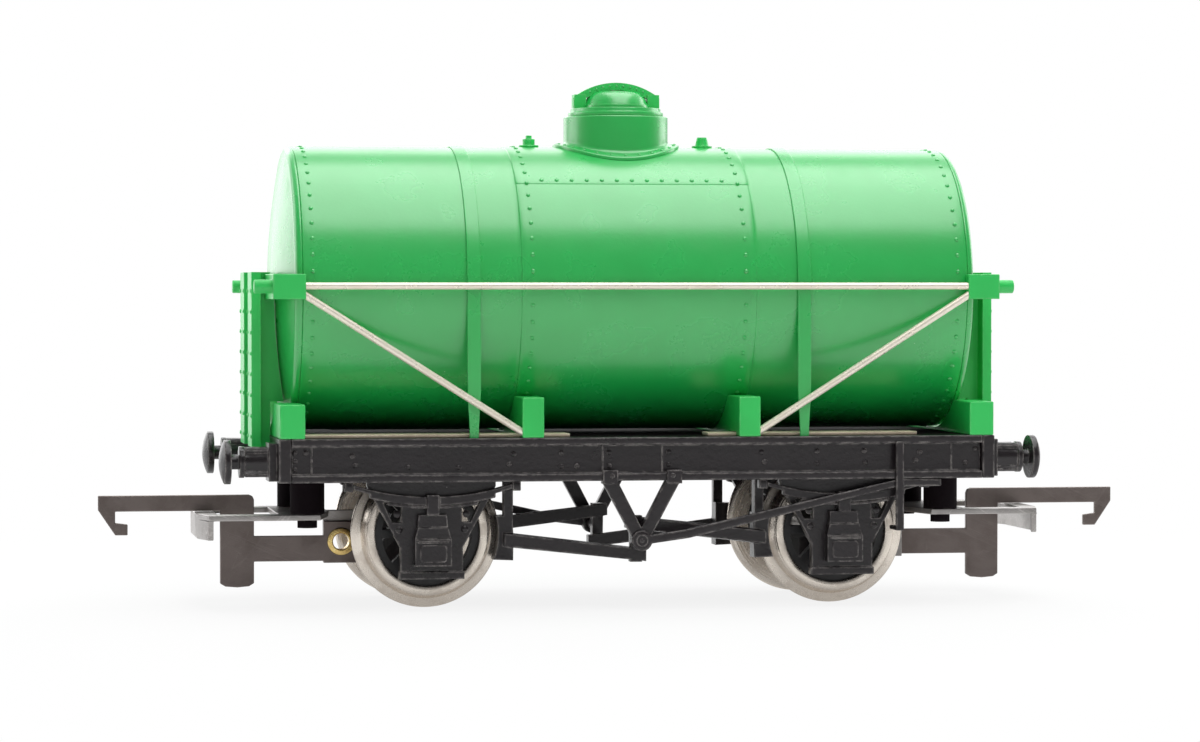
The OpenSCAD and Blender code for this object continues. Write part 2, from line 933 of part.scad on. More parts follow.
// The clamp arches over the cap from two lugs on the lid.
module lid_clamp() {
    base = dome_top + 0.85;
    top = dome_top + clamp_h;
    foot = lid_r - 0.4;
    rise = 1.5;
    arch_r = (foot * foot + rise * rise) / (2 * rise);
    bar_t = 0.75;
    color(PAINT) {
        upright(-0.6, 0.6)
            intersection() {
                translate([0, top - arch_r])
                    difference() {
                        circle(r = arch_r);
                        circle(r = arch_r - bar_t);
                    }
                translate([-foot, base])
                    square([2 * foot, clamp_h]);
            }
        for (s = [0, 1])
            mirror([s, 0, 0])
                block(cap_r + 0.12, foot - 0.05, -0.8, 0.8, base, top - rise + 0.3);
    }
}

module relief_valve() {
    color(PAINT)
        on_crown()
            translate([-vent_x, 0, 0]) {
                stem(0.6, crown_z + 0.8);
                stem(0.3, crown_z + 1.15);
                crown_flange(0.975, 0.2);
            }
}

module mushroom_vent() {
    color(PAINT)
        on_crown()
            translate([vent_x, 0, 0]) {
                stem(0.7, crown_z + 0.2);
                translate([0, 0, crown_z + 0.15])
                    cylinder(r1 = 0.7, r2 = 0.48, h = 0.9);
                crown_flange(1, 0.2);
            }
}

// ---- Seating ----

module centre_saddles() {
    color(PAINT)
        for (s = [-1, 1])
            difference() {
                block(s * saddle_x - saddle_t / 2, s * saddle_x + saddle_t / 2,
                    -seat_y, seat_y, deck_z, deck_z + saddle_h);
                tank_room();
                strip_room();
            }
}

// The room the deck strips take, with a clearance, for notches over them.
module strip_room() {
    for (s = [0, 1])
        mirror([0, s, 0])
            block(-frame_half, frame_half, strip_in - fit, strip_out + fit, deck_z - 1, deck_z + strip_t + fit);
}

module end_cradles() {
    color(PAINT)
        for (end = [-1, 1])
            at_end(end)
                difference() {
                    block(cradle_x0, cradle_x1, -seat_y, seat_y, deck_z, deck_z + cradle_h);
                    tank_room();
                }
}

// A plank across the dished end, with a block each side and the ends of two tie rods.
module end_beam() {
    nub_r = 0.65;
    color(PAINT) {
        plank(0);
        for (s = [0, 1])
            mirror([0, s, 0]) {
                block(block_x0, plank_x1, beam_in, beam_out, beam_z0, beam_z1);
                translate([plank_x1 - bite, beam_in - 0.45, beam_z0 + beam_h / 2])
                    rotate([0, 90, 0])
                        cylinder(r = nub_r, h = 1.7 + bite);
            }
    }
}

// The plank, grown by a clearance where a post is cut to it.
module plank(grow) {
    block(plank_x0 - grow, plank_x1 + grow, -beam_in - bite, beam_in + bite, beam_z0 - grow, beam_z1 + grow);
}

// Two posts with a front plate and a web, cut round the plank. The web follows the dished end.
module end_posts() {
    web_t = 0.8;
    back_x = frame_half - 0.05;
    low_z = deck_z + cradle_h + 0.05;
    high_z = beam_z0 - 0.05;
    nearest = post_y - web_t / 2;
    steps = 12;
    dished = [
        for (i = [0 : steps])
            let (z = high_z + (low_z - high_z) * i / steps)
            let (r = sqrt(nearest * nearest + (z - tank_z) * (z - tank_z)))
            [rim_x + rim_round + 0.08 + cap_height(min(r, tank_r), tank_r - rim_round, dish), z]
    ];
    color(PAINT)
        for (y = [-post_y, post_y]) {
            block(post_x0, post_x1, y - post_w / 2, y + post_w / 2, post_z0, post_top);
            difference() {
                block(back_x, post_x0 + bite, y - web_t / 2, y + web_t / 2, deck_z, post_top);
                plank(0);
            }
            upright(y - web_t / 2, y + web_t / 2)
                polygon(concat([[back_x + 0.5, low_z], [back_x + 0.5, high_z]], dished));
            block(frame_half, post_x0 + bite, y - web_t / 2, y + web_t / 2, post_z0, deck_z + bite);
        }
}

// Three wires on the near side: one between the end beams and two down to the centre saddles.
module stay_wires() {
    top_z = beam_z1 - 0.8 - wire_r;
    high_z = top_z - 2.6 * wire_r;
    foot_x = saddle_x + saddle_t / 2;
    foot_z = deck_z + strip_t + 0.6 * wire_r;
    color(STEEL) {
        translate([0, -wire_y, top_z])
            rotate([0, 90, 0])
                cylinder(r = wire_r, h = 2 * block_x0, center = true);
        for (s = [-1, 1])
            intersection() {
                slanted_wire([s * block_x0, high_z], [s * foot_x, foot_z]);
                block(min(s * foot_x, s * block_x0), max(s * foot_x, s * block_x0),
                    -2 * side_y, 0, deck_z, tank_z + tank_r);
            }
    }
}

// A wire between two points [x, z], drawn a little past both.
module slanted_wire(from, to) {
    run = to - from;
    len = norm(run);
    translate([from[0], -wire_y, from[1]])
        rotate([0, atan2(run[0], run[1]), 0])
            translate([0, 0, -1])
                cylinder(r = wire_r, h = len + 2);
}

// A long strip and a short one along each side of the deck, between the cradles and the middle.
module deck_strips() {
    middle_gap = 13.4;
    short_end = 27.4;
    color(STEEL)
        for (turn = [0, 180])
            rotate([0, 0, turn]) {
                block(-cradle_x0 + fit, -middle_gap / 2, -strip_out, -strip_in, deck_z, deck_z + strip_t);
                block(middle_gap / 2, short_end, -strip_out, -strip_in, deck_z, deck_z + strip_t);
            }
}

// ---- The wagon ----

floor();
at_side(-1) solebar();  // solebar_near
at_side(1) solebar();  // solebar_far
at_end(-1) headstock();  // headstock_left
at_end(1) headstock();  // headstock_right
at_end(-1) buffers();  // buffers_left
at_end(1) buffers();  // buffers_right
at_wheel(-1, -1) axle_guard();  // axle_guard_left_near
at_wheel(-1, 1) axle_guard();  // axle_guard_left_far
at_wheel(1, -1) axle_guard();  // axle_guard_right_near
at_wheel(1, 1) axle_guard();  // axle_guard_right_far
at_wheel(-1, -1) axlebox();  // axlebox_left_near
at_wheel(-1, 1) axlebox();  // axlebox_left_far
at_wheel(1, -1) axlebox();  // axlebox_right_near
at_wheel(1, 1) axlebox();  // axlebox_right_far
at_wheel(-1, -1) leaf_spring();  // leaf_spring_left_near
at_wheel(-1, 1) leaf_spring();  // leaf_spring_left_far
at_wheel(1, -1) leaf_spring();  // leaf_spring_right_near
at_wheel(1, 1) leaf_spring();  // leaf_spring_right_far
at_side(-1) brake_vee();  // brake_vee_near
at_side(1) brake_vee();  // brake_vee_far
at_side(-1) brake_lever();  // brake_lever_near
at_side(1) brake_lever();  // brake_lever_far
at_side(-1) lever_guard();  // lever_guard_near
at_side(1) lever_guard();  // lever_guard_far
at_side(-1) brake_shoes();  // brake_shoes_near
at_side(1) brake_shoes();  // brake_shoes_far
at_end(-1) coupling_plate();  // coupling_plate_left
at_end(1) coupling_plate();  // coupling_plate_right
at_end(-1) coupling_eyelet();  // coupling_eyelet_left
at_end(1) coupling_eyelet();  // coupling_eyelet_right
at_end(-1) coupling_hook();  // coupling_hook_left
at_end(1) coupling_hook();  // coupling_hook_right
at_axle(-1) axle();  // axle_left
at_axle(1) axle();  // axle_right
at_axle(-1) wheel_centres();  // wheel_centres_left
at_axle(1) wheel_centres();  // wheel_centres_right
at_axle(-1) tyres();  // tyres_left
at_axle(1) tyres();  // tyres_right
tank_barrel();
at_end(-1) tank_end();  // tank_end_left
at_end(1) tank_end();  // tank_end_right
at_end(-1) tank_strap();  // tank_strap_left
at_end(1) tank_strap();  // tank_strap_right
dome();
dome_lid();
lid_clamp();
relief_valve();
mushroom_vent();
centre_saddles();
end_cradles();
at_end(-1) end_beam();  // end_beam_left
at_end(1) end_beam();  // end_beam_right
at_end(-1) end_posts();  // end_posts_left
at_end(1) end_posts();  // end_posts_right
at_side(-1) stay_wires();  // stay_wires_near
at_side(1) stay_wires();  // stay_wires_far
deck_strips();
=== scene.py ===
"""Looks, small detail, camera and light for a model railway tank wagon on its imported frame.

Lengths in the classes are millimetres; a piece's mesh is in metres, in the frame's own axes.
+X runs along the wagon, -Y is the near side, and the left end and far side are the right end
and near side turned half a turn about Z.
"""

import logging
import math
from dataclasses import dataclass
from enum import Enum
from typing import Any, Sequence

import bmesh
import bpy
import numpy as np
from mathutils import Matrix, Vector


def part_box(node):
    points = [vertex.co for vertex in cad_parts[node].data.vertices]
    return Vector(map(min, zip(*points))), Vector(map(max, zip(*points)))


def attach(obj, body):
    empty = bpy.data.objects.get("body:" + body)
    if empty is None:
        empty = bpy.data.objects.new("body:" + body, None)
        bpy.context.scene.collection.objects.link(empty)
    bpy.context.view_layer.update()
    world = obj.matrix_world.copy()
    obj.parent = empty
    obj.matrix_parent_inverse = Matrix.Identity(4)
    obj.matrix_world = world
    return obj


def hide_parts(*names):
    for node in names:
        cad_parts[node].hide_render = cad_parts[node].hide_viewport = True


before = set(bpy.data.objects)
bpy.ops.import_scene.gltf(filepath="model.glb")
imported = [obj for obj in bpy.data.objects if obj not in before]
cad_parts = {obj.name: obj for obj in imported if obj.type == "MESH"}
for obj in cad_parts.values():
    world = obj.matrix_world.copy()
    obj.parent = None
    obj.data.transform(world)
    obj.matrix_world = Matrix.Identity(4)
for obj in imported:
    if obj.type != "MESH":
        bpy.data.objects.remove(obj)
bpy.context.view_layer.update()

MM = 0.001
ALONG, OUTWARDS, UPWARDS = (np.array([way]) for way in ((1.0, 0.0, 0.0), (0.0, -1.0, 0.0), (0.0, 0.0, 1.0)))
LOG = logging.getLogger("tank_wagon")
Array = np.ndarray
Colour = tuple[float, float, float]


class Body(Enum):
    """The moving groups that a piece can ride on."""

    WAGON = "wagon"
    WHEELS_LEFT = "wheelset_left"
    WHEELS_RIGHT = "wheelset_right"
    HOOK_LEFT = "hook_left"
    HOOK_RIGHT = "hook_right"


class End(Enum):
    """The two ends of the wagon, with the sign of X."""

    LEFT = -1
    RIGHT = 1

    @property
    def label(self) -> str:
        """The end's name in the names of its nodes."""
        return self.name.lower()


class Side(Enum):
    """The two sides of the wagon, with the sign of Y."""

    NEAR = -1
    FAR = 1

    @property
    def label(self) -> str:
        """The side's name in the names of its nodes."""
        return self.name.lower()


# ---- Shapes ----


@dataclass
class Shape:
    """Points in millimetres and the four-cornered faces that join them."""

    points: Array
    faces: Array

    def __add__(self, other: "Shape") -> "Shape":
        """Both shapes as one.

        Args:
            other: the shape to join.
        Returns:
            The joined shape.
        """
        return Shape(
            np.vstack([self.points, other.points]),
            np.vstack([self.faces, other.faces + len(self.points)]),
        )

    def moved(self, x: float = 0.0, y: float = 0.0, z: float = 0.0) -> "Shape":
        """The shape shifted by the given lengths."""
        return Shape(self.points + np.array([x, y, z]), self.faces)

    def half_turned(self) -> "Shape":
        """The shape turned half a turn about Z, which swaps the ends and the sides."""
        return Shape(self.points * np.array([-1.0, -1.0, 1.0]), self.faces)

    def on(self, side: Side) -> "Shape":
        """The shape drawn for the near side, turned half a turn where it is for the far side."""
        return self.half_turned() if side is Side.FAR else self

    def mirrored(self) -> "Shape":
        """The shape reflected across the wagon's middle plane, with its faces turned back outwards."""
        return Shape(self.points * np.array([1.0, -1.0, 1.0]), self.faces[:, ::-1])

    def at(self, end: End, side: Side = Side.NEAR) -> "Shape":
        """A shape drawn for the right end and near side, placed at another end and side.

        Args:
            end: the end to place it at.
            side: the side to place it on.
        Returns:
            The placed shape.
        """
        shape = self.half_turned() if end is End.LEFT else self
        if (end is End.LEFT) != (side is Side.FAR):
            shape = shape.mirrored()
        return shape


def grid_surface(points: Array) -> Shape:
    """Joins a grid of points into a surface: each cell of the grid is one face, and the last
    column joins the first.

    Args:
        points: an array of rows by columns by three coordinates.
    Returns:
        The surface.
    """
    rows, columns = points.shape[:2]
    i, j = np.meshgrid(np.arange(rows - 1), np.arange(columns), indexing="ij")
    k, m = i + 1, (j + 1) % columns
    faces = np.stack([i * columns + j, k * columns + j, k * columns + m, i * columns + m], -1)
    return Shape(points.reshape(-1, 3).astype(float), faces.reshape(-1, 4))


def turned(profile: Sequence[tuple[float, float]], axis: str = "Z", sides: int = 96) -> Shape:
    """A profile turned about an axis: a point at radius r and height h goes to
    (r cos t, r sin t, h) for t from 0 to a full turn, with h along the axis.

    Args:
        profile: radius and height pairs.
        axis: the axis letter that the height runs along.
        sides: how many steps the turn has.
    Returns:
        The turned surface.
    """
    radius, height = np.array(profile, float).T
    turn = np.linspace(0.0, 2.0 * np.pi, sides, endpoint=False)
    first = radius[:, None] * np.cos(turn)
    second = radius[:, None] * np.sin(turn)
    along = np.broadcast_to(height[:, None], first.shape)
    order = {"Z": (first, second, along), "X": (along, first, second), "Y": (second, along, first)}
    return grid_surface(np.stack(order[axis], -1))


def swept(path: Array, across: Array, out: Array, section: Array) -> Shape:
    """A closed section carried along a path: each point of the section lies at
    path + a * across + b * out, where a and b are its two numbers there. Both ends are closed.

    Args:
        path: points along the path.
        across: the direction of the section's first number, for all path points or for each.
        out: the direction of the section's second number, likewise.
        section: path points by section points by two numbers.
    Returns:
        The swept surface.
    """
    rows = (
        path[:, None, :]
        + section[:, :, :1] * across[:, None, :]
        + section[:, :, 1:] * out[:, None, :]
    )
    first = np.broadcast_to(rows[:1].mean(1, keepdims=True), rows[:1].shape)
    last = np.broadcast_to(rows[-1:].mean(1, keepdims=True), rows[-1:].shape)
    return grid_surface(np.concatenate([first, rows, last]))


def soft_rectangle(half_width: Array, half_height: Array, steps: int = 20) -> Array:
    """Sections with softly rounded corners: (w c, h s), where c and s are the cosine and
    sine of the turn with their size raised to the power 0.3 and their sign kept.

    Args:
        half_width: half the width of each section.
        half_height: half the height of each section.
        steps: points around a section.
    Returns:
        Sections by points by two numbers.
    """
    turn = np.linspace(0.0, 2.0 * np.pi, steps, endpoint=False) + np.pi / steps
    c = np.sign(np.cos(turn)) * np.abs(np.cos(turn)) ** 0.3
    s = np.sign(np.sin(turn)) * np.abs(np.sin(turn)) ** 0.3
    return np.stack([half_width[:, None] * c, half_height[:, None] * s], -1)


def smooth_step(value: Array) -> Array:
    """A soft change from 0 to 1: 3 v squared less 2 v cubed, for v kept between 0 and 1."""
    v = np.clip(value, 0.0, 1.0)
    return v * v * (3.0 - 2.0 * v)


def scattered(shape: Shape, places: Array, normals: Array) -> Shape:
    """Copies of a small shape, each standing on its own place along its own normal:
    a point (a, b, c) goes to place + a * side + b * (normal x side) + c * normal.

    Args:
        shape: the shape, drawn round the origin and standing along Z.
        places: where each copy goes.
        normals: the direction that all copies stand in, or one for each.
    Returns:
        All the copies as one shape.
    """
    up = normals / np.linalg.norm(normals, axis=1, keepdims=True)
    helper = np.where(np.abs(up[:, :1]) < 0.9, [[1.0, 0.0, 0.0]], [[0.0, 0.0, 1.0]])
    side = np.cross(helper, up)
    side /= np.linalg.norm(side, axis=1, keepdims=True)
    other = np.cross(up, side)
    a, b, c = (shape.points[:, n][None, :, None] for n in range(3))
    points = places[:, None] + a * side[:, None] + b * other[:, None] + c * up[:, None]
    shift = np.arange(len(places))[:, None, None] * len(shape.points)
    return Shape(points.reshape(-1, 3), (shape.faces[None] + shift).reshape(-1, 4))


def rivet(radius: float, height: float, sides: int = 8) -> Shape:
    """A rivet's domed head: rings whose radius shrinks as they rise, from below the plate to the top.

    Args:
        radius: the head's radius.
        height: how far it stands proud.
        sides: steps around it.
    Returns:
        The head, standing along Z.
    """
    return turned(
        [(radius, -0.05), (radius, 0.35 * height), (0.68 * radius, 0.82 * height), (0.0, height)],
        sides=sides,
    )


def link(name: str, data: bpy.types.ID) -> bpy.types.Object:
    """Makes an object for a mesh, a lamp or a camera, and puts it in the scene.

    Args:
        name: the object's name.
        data: what it shows.
    Returns:
        The object.
    """
    made = bpy.data.objects.new(name, data)
    bpy.context.scene.collection.objects.link(made)
    return made


def node_box(name: str) -> tuple[Array, Array]:
    """The lowest and highest corners of a CAD node, in millimetres."""
    low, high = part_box(name)
    return np.array(low) / MM, np.array(high) / MM


# ---- Node trees ----

EDGE_LEANS = (0.004, 0.07)


class Level:
    """A number that varies over a surface. Arithmetic on it adds Math nodes."""

    def __init__(self, recipe: "Recipe", socket: bpy.types.NodeSocket) -> None:
        """Wraps one output socket of a recipe's node."""
        self.recipe = recipe
        self.socket = socket

    def _math(self, operation: str, *values: "Level | float", clamp: bool = False) -> "Level":
        """Adds a Math node.

        Args:
            operation: the node's operation.
            values: its inputs in order.
            clamp: keeps the result between 0 and 1.
        Returns:
            The result.
        """
        settings = {"operation": operation, "use_clamp": clamp}
        node = self.recipe.node("ShaderNodeMath", settings, dict(enumerate(values)))
        return Level(self.recipe, node.outputs[0])

    def __add__(self, other: "Level | float") -> "Level":
        """This number plus another."""
        return self._math("ADD", self, other)

    __radd__ = __add__

    def __sub__(self, other: "Level | float") -> "Level":
        """This number less another."""
        return self._math("SUBTRACT", self, other)

    def __rsub__(self, other: "Level | float") -> "Level":
        """Another number less this one."""
        return self._math("SUBTRACT", other, self)

    def __mul__(self, other: "Level | float") -> "Level":
        """This number times another."""
        return self._math("MULTIPLY", self, other)

    __rmul__ = __mul__

    def clamped(self) -> "Level":
        """This number kept between 0 and 1."""
        return self._math("ADD", self, 0.0, clamp=True)

    def step(self, start: float, stop: float) -> "Level":
        """A soft change from 0 where this number is start to 1 where it is stop.

        Args:
            start: where the change begins.
            stop: where it ends.
        Returns:
            The changed number.
        """
        node = self.recipe.node(
            "ShaderNodeMapRange",
            {"interpolation_type": "SMOOTHSTEP"},
            {"Value": self, "From Min": start, "From Max": stop},
        )
        return Level(self.recipe, node.outputs["Result"])


class Recipe:
    """The node tree of one material or world."""

    def __init__(self, host: bpy.types.Material | bpy.types.World) -> None:
        """Empties the host's node tree.

        Args:
            host: the material or world.
        """
        host.use_nodes = True
        self.tree = host.node_tree
        self.tree.nodes.clear()

    def node(
        self,
        kind: str,
        settings: dict[str, Any] | None = None,
        inputs: dict[str | int, Any] | None = None,
    ) -> bpy.types.Node:
        """Adds a node: its settings are made first, then its sockets are filled or linked.

        Args:
            kind: the node's type.
            settings: its settings by name.
            inputs: a value, a link or a Level for each socket, by name, identifier or number.
        Returns:
            The node.
        """
        made = self.tree.nodes.new(kind)
        for name, value in (settings or {}).items():
            setattr(made, name, value)
        for key, value in (inputs or {}).items():
            socket = self._socket(made, key)
            value = value.socket if isinstance(value, Level) else value
            if isinstance(value, bpy.types.NodeSocket):
                self.tree.links.new(value, socket)
            else:
                socket.default_value = value
        return made

    @staticmethod
    def _socket(node: bpy.types.Node, key: str | int) -> bpy.types.NodeSocket:
        """Finds a node's input.

        Args:
            node: the node.
            key: the input's number, identifier or name.
        Returns:
            The input.
        """
        if isinstance(key, int):
            return node.inputs[key]
        exact = [s for s in node.inputs if s.identifier == key]
        return exact[0] if exact else node.inputs[key]

    def place(
        self,
        stretch: tuple[float, float, float] = (1.0, 1.0, 1.0),
        centre: tuple[float, float, float] = (0.0, 0.0, 0.0),
        turn: tuple[float, float, float] = (0.0, 0.0, 0.0),
    ) -> bpy.types.NodeSocket:
        """The point on the object, measured from a centre, turned and stretched along each axis.

        Args:
            stretch: how much each axis is stretched.
            centre: the point that becomes the origin, in millimetres.
            turn: the turn about each axis, in degrees.
        Returns:
            The point's socket.
        """
        there = self.node("ShaderNodeTexCoord").outputs["Object"]
        settings = {"vector_type": "TEXTURE"}
        inputs = {
            "Vector": there,
            "Location": tuple(c * MM for c in centre),
            "Rotation": tuple(math.radians(t) for t in turn),
            "Scale": tuple(1.0 / s for s in stretch),
        }
        return self.node("ShaderNodeMapping", settings, inputs).outputs[0]

    def noise(
        self, where: bpy.types.NodeSocket, size: float, detail: float = 2.0, rough: float = 0.5
    ) -> Level:
        """A cloudy pattern from 0 to 1.

        Args:
            where: the point to read it at.
            size: the width of its clouds, in millimetres.
            detail: how many finer layers it has.
            rough: how strong those layers are.
        Returns:
            The pattern.
        """
        inputs = {"Vector": where, "Scale": 1.0 / (size * MM), "Detail": detail, "Roughness": rough}
        return Level(self, self.node("ShaderNodeTexNoise", {}, inputs).outputs[0])

    def specks(self, where: bpy.types.NodeSocket, spacing: float, size: float, share: float) -> Level:
        """Small round specks: a cell has one at its middle if its own chance is under the share.

        Args:
            where: the point to read it at.
            spacing: the distance between cells, in millimetres.
            size: the radius of a speck, in millimetres.
            share: the part of the cells that have one.
        Returns:
            1 inside a speck and 0 elsewhere.
        """
        cells = self.node("ShaderNodeTexVoronoi", {}, {"Vector": where, "Scale": 1.0 / (spacing * MM)})
        chance = self.node("ShaderNodeSeparateColor", {}, {0: cells.outputs["Color"]}).outputs[0]
        near = Level(self, cells.outputs["Distance"]).step(size / spacing, 0.4 * size / spacing)
        return near * Level(self, chance).step(share + 0.01, share)

    def edges(self, radius: float) -> Level:
        """How near a sharp edge a point is, from how far the rounded normal leans from the plain one.

        Args:
            radius: how far from an edge it reaches, in millimetres.
        Returns:
            0 on flat ground and up to 1 on an edge.
        """
        rounded = self.node("ShaderNodeBevel", {"samples": 4}, {"Radius": radius * MM})
        plain = self.node("ShaderNodeNewGeometry")
        lean = self.node(
            "ShaderNodeVectorMath",
            {"operation": "DOT_PRODUCT"},
            {0: rounded.outputs[0], 1: plain.outputs["Normal"]},
        )
        return (1.0 - Level(self, lean.outputs["Value"])).step(*EDGE_LEANS)

    def blend(self, share: Level | float, first: Any, second: Any) -> bpy.types.NodeSocket:
        """A colour between two others.

        Args:
            share: how much of the second shows.
            first: a colour or a colour's socket.
            second: a colour or a colour's socket.
        Returns:
            The blended colour's socket.
        """
        colours = [(*c, 1.0) if isinstance(c, tuple) else c for c in (first, second)]
        node = self.node(
            "ShaderNodeMix",
            {"data_type": "RGBA"},
            {"Factor_Float": share, "A_Color": colours[0], "B_Color": colours[1]},
        )
        return next(s for s in node.outputs if s.identifier == "Result_Color")

    def bump(self, height: Level, depth: float) -> bpy.types.NodeSocket:
        """A normal leaned by a height pattern whose full range is depth millimetres."""
        inputs = {"Height": height, "Strength": 1.0, "Distance": depth * MM}
        return self.node("ShaderNodeBump", {}, inputs).outputs[0]

    def surface(self, **sockets: Any) -> None:
        """Joins a Principled shader to the output, its sockets given with _ for a space."""
        inputs = {name.replace("_", " "): value for name, value in sockets.items()}
        shader = self.node("ShaderNodeBsdfPrincipled", {}, inputs)
        self.node("ShaderNodeOutputMaterial", {}, {"Surface": shader.outputs[0]})


# ---- Finishes ----

POLYSTYRENE_IOR = 1.59


def new_material(slot: str) -> bpy.types.Material:
    """An empty material that remembers its slot in the record.

    Args:
        slot: the slot's name.
    Returns:
        The material.
    """
    material = bpy.data.materials.new(f"{slot}_look")
    material["slot"] = slot
    return material


@dataclass(frozen=True)
class Plastic:
    """A moulded plastic: coloured through, faintly cloudy, with dust specks, and paler edges that are partly
    rubbed wear and partly a painted highlight.
    """

    slot: str
    colour: Colour
    shade: Colour
    roughness: float
    # dust is the pale colour of the dust specks and of the paler edges; those edges are partly rubbed wear
    # and partly a painted highlight.
    dust: Colour
    specks: float
    # rubbed sets how pale the edges are painted: partly rubbed wear, partly a painted highlight where the
    # edges catch the light; it also scales the pale haze.
    rubbed: float
    grain: float
    gloss: float = 0.5

    def make(self) -> bpy.types.Material:
        """Builds the material."""
        material = new_material(self.slot)
        recipe = Recipe(material)
        here = recipe.place()
        flow = recipe.noise(here, size=7.0, detail=3.0)
        skin = recipe.noise(here, size=0.35, detail=3.0, rough=0.6)
        dust = recipe.specks(here, spacing=1.7, size=0.075, share=self.specks)
        haze = recipe.noise(here, size=2.2, detail=5.0, rough=0.65).step(0.52, 0.78)
        # Paler edges: partly rubbed wear, partly a painted highlight along the edges.
        paled_edge = recipe.edges(0.26) * recipe.noise(here, size=0.9, detail=3.0, rough=0.7).step(0.35, 0.65)
        colour = recipe.blend(flow.step(0.3, 0.75), self.colour, self.shade)
        pale = (paled_edge * self.rubbed + dust * 0.75 + haze * (0.025 * self.rubbed)).clamped()
        recipe.surface(
            Base_Color=recipe.blend(pale, colour, self.dust),
            Roughness=(self.roughness - 0.05 + flow * 0.1 + haze * 0.08 + dust * 0.3).clamped(),
            Normal=recipe.bump(skin * self.grain + dust * 0.2, 0.02),
            Specular_IOR_Level=self.gloss,
            IOR=POLYSTYRENE_IOR,
        )
        return material


@dataclass(frozen=True)
class Steel:
    """A bright or blackened metal: drawn or rubbed one way, with stains, specks and fine scratches."""

    slot: str
    colour: Colour
    stain: Colour
    roughness: float
    stretch: tuple[float, float, float]
    stained: float
    scratched: float
    bright_edge: float = 0.3
    metallic: float = 1.0

    def make(self) -> bpy.types.Material:
        """Builds the material."""
        material = new_material(self.slot)
        recipe = Recipe(material)
        here = recipe.place()
        rubbed = recipe.noise(recipe.place(self.stretch), size=0.25, detail=3.0, rough=0.6)
        clouds = recipe.noise(here, size=3.5, detail=5.0, rough=0.6).step(0.42, 0.72)
        specks = recipe.specks(here, spacing=1.1, size=0.08, share=0.2)
        lines = self._scratches(recipe)
        paled_edge = recipe.edges(0.16)
        colour = recipe.blend((clouds * self.stained + specks * 0.4).clamped(), self.colour, self.stain)
        paler = tuple(min(1.0, c * 1.7 + 0.08) for c in self.colour)
        bright = (lines * self.scratched + paled_edge * self.bright_edge).clamped()
        recipe.surface(
            Base_Color=recipe.blend(bright, colour, paler),
            Metallic=self.metallic,
            Roughness=(self.roughness - 0.07 + rubbed * 0.14 + clouds * 0.1).clamped(),
            Normal=recipe.bump(rubbed + lines * -0.6, 0.006),
        )
        return material

    def _scratches(self, recipe: Recipe) -> Level:
        """Thin lines in two directions: the middle of a noise that is stretched a long way.

        Args:
            recipe: the material's recipe.
        Returns:
            1 on a scratch and 0 elsewhere.
        """
        first = recipe.noise(recipe.place((0.06, 1.0, 1.2), turn=(0.0, 24.0, 0.0)), size=0.8, detail=1.0)
        second = recipe.noise(recipe.place((0.08, 1.0, 1.0), turn=(0.0, -52.0, 0.0)), size=1.1, detail=1.0)
        crossing = second.step(0.49, 0.5) * second.step(0.51, 0.5)
        return (first.step(0.485, 0.5) * first.step(0.515, 0.5) + crossing).clamped()


@dataclass(frozen=True)
class TurnedSteel:
    """A metal turned on a lathe: fine rings round its axle, with small brown stains."""

    slot: str
    colour: Colour
    stain: Colour
    roughness: float
    axle_x: float
    axle_z: float

    def make(self) -> bpy.types.Material:
        """Builds the material."""
        material = new_material(self.slot)
        recipe = Recipe(material)
        here = recipe.place(centre=(self.axle_x, 0.0, self.axle_z))
        parts = recipe.node("ShaderNodeSeparateXYZ", {}, {0: here})
        flat = recipe.node("ShaderNodeCombineXYZ", {}, {0: parts.outputs[0], 2: parts.outputs[2]})
        away = recipe.node("ShaderNodeVectorMath", {"operation": "LENGTH"}, {0: flat.outputs[0]})
        across = recipe.node("ShaderNodeCombineXYZ", {}, {0: away.outputs["Value"], 1: parts.outputs[1]})
        rings = recipe.noise(across.outputs[0], size=0.11, detail=2.0, rough=0.6)
        clouds = recipe.noise(here, size=1.6, detail=5.0, rough=0.65).step(0.45, 0.8)
        spots = recipe.specks(here, spacing=1.3, size=0.13, share=0.14)
        stain = (clouds * 0.3 + spots * 0.55).clamped()
        recipe.surface(
            Base_Color=recipe.blend(stain, self.colour, self.stain),
            Metallic=1.0,
            Roughness=(self.roughness - 0.05 + rings * 0.12 + clouds * 0.12).clamped(),
            Normal=recipe.bump(rings, 0.014),
        )
        return material


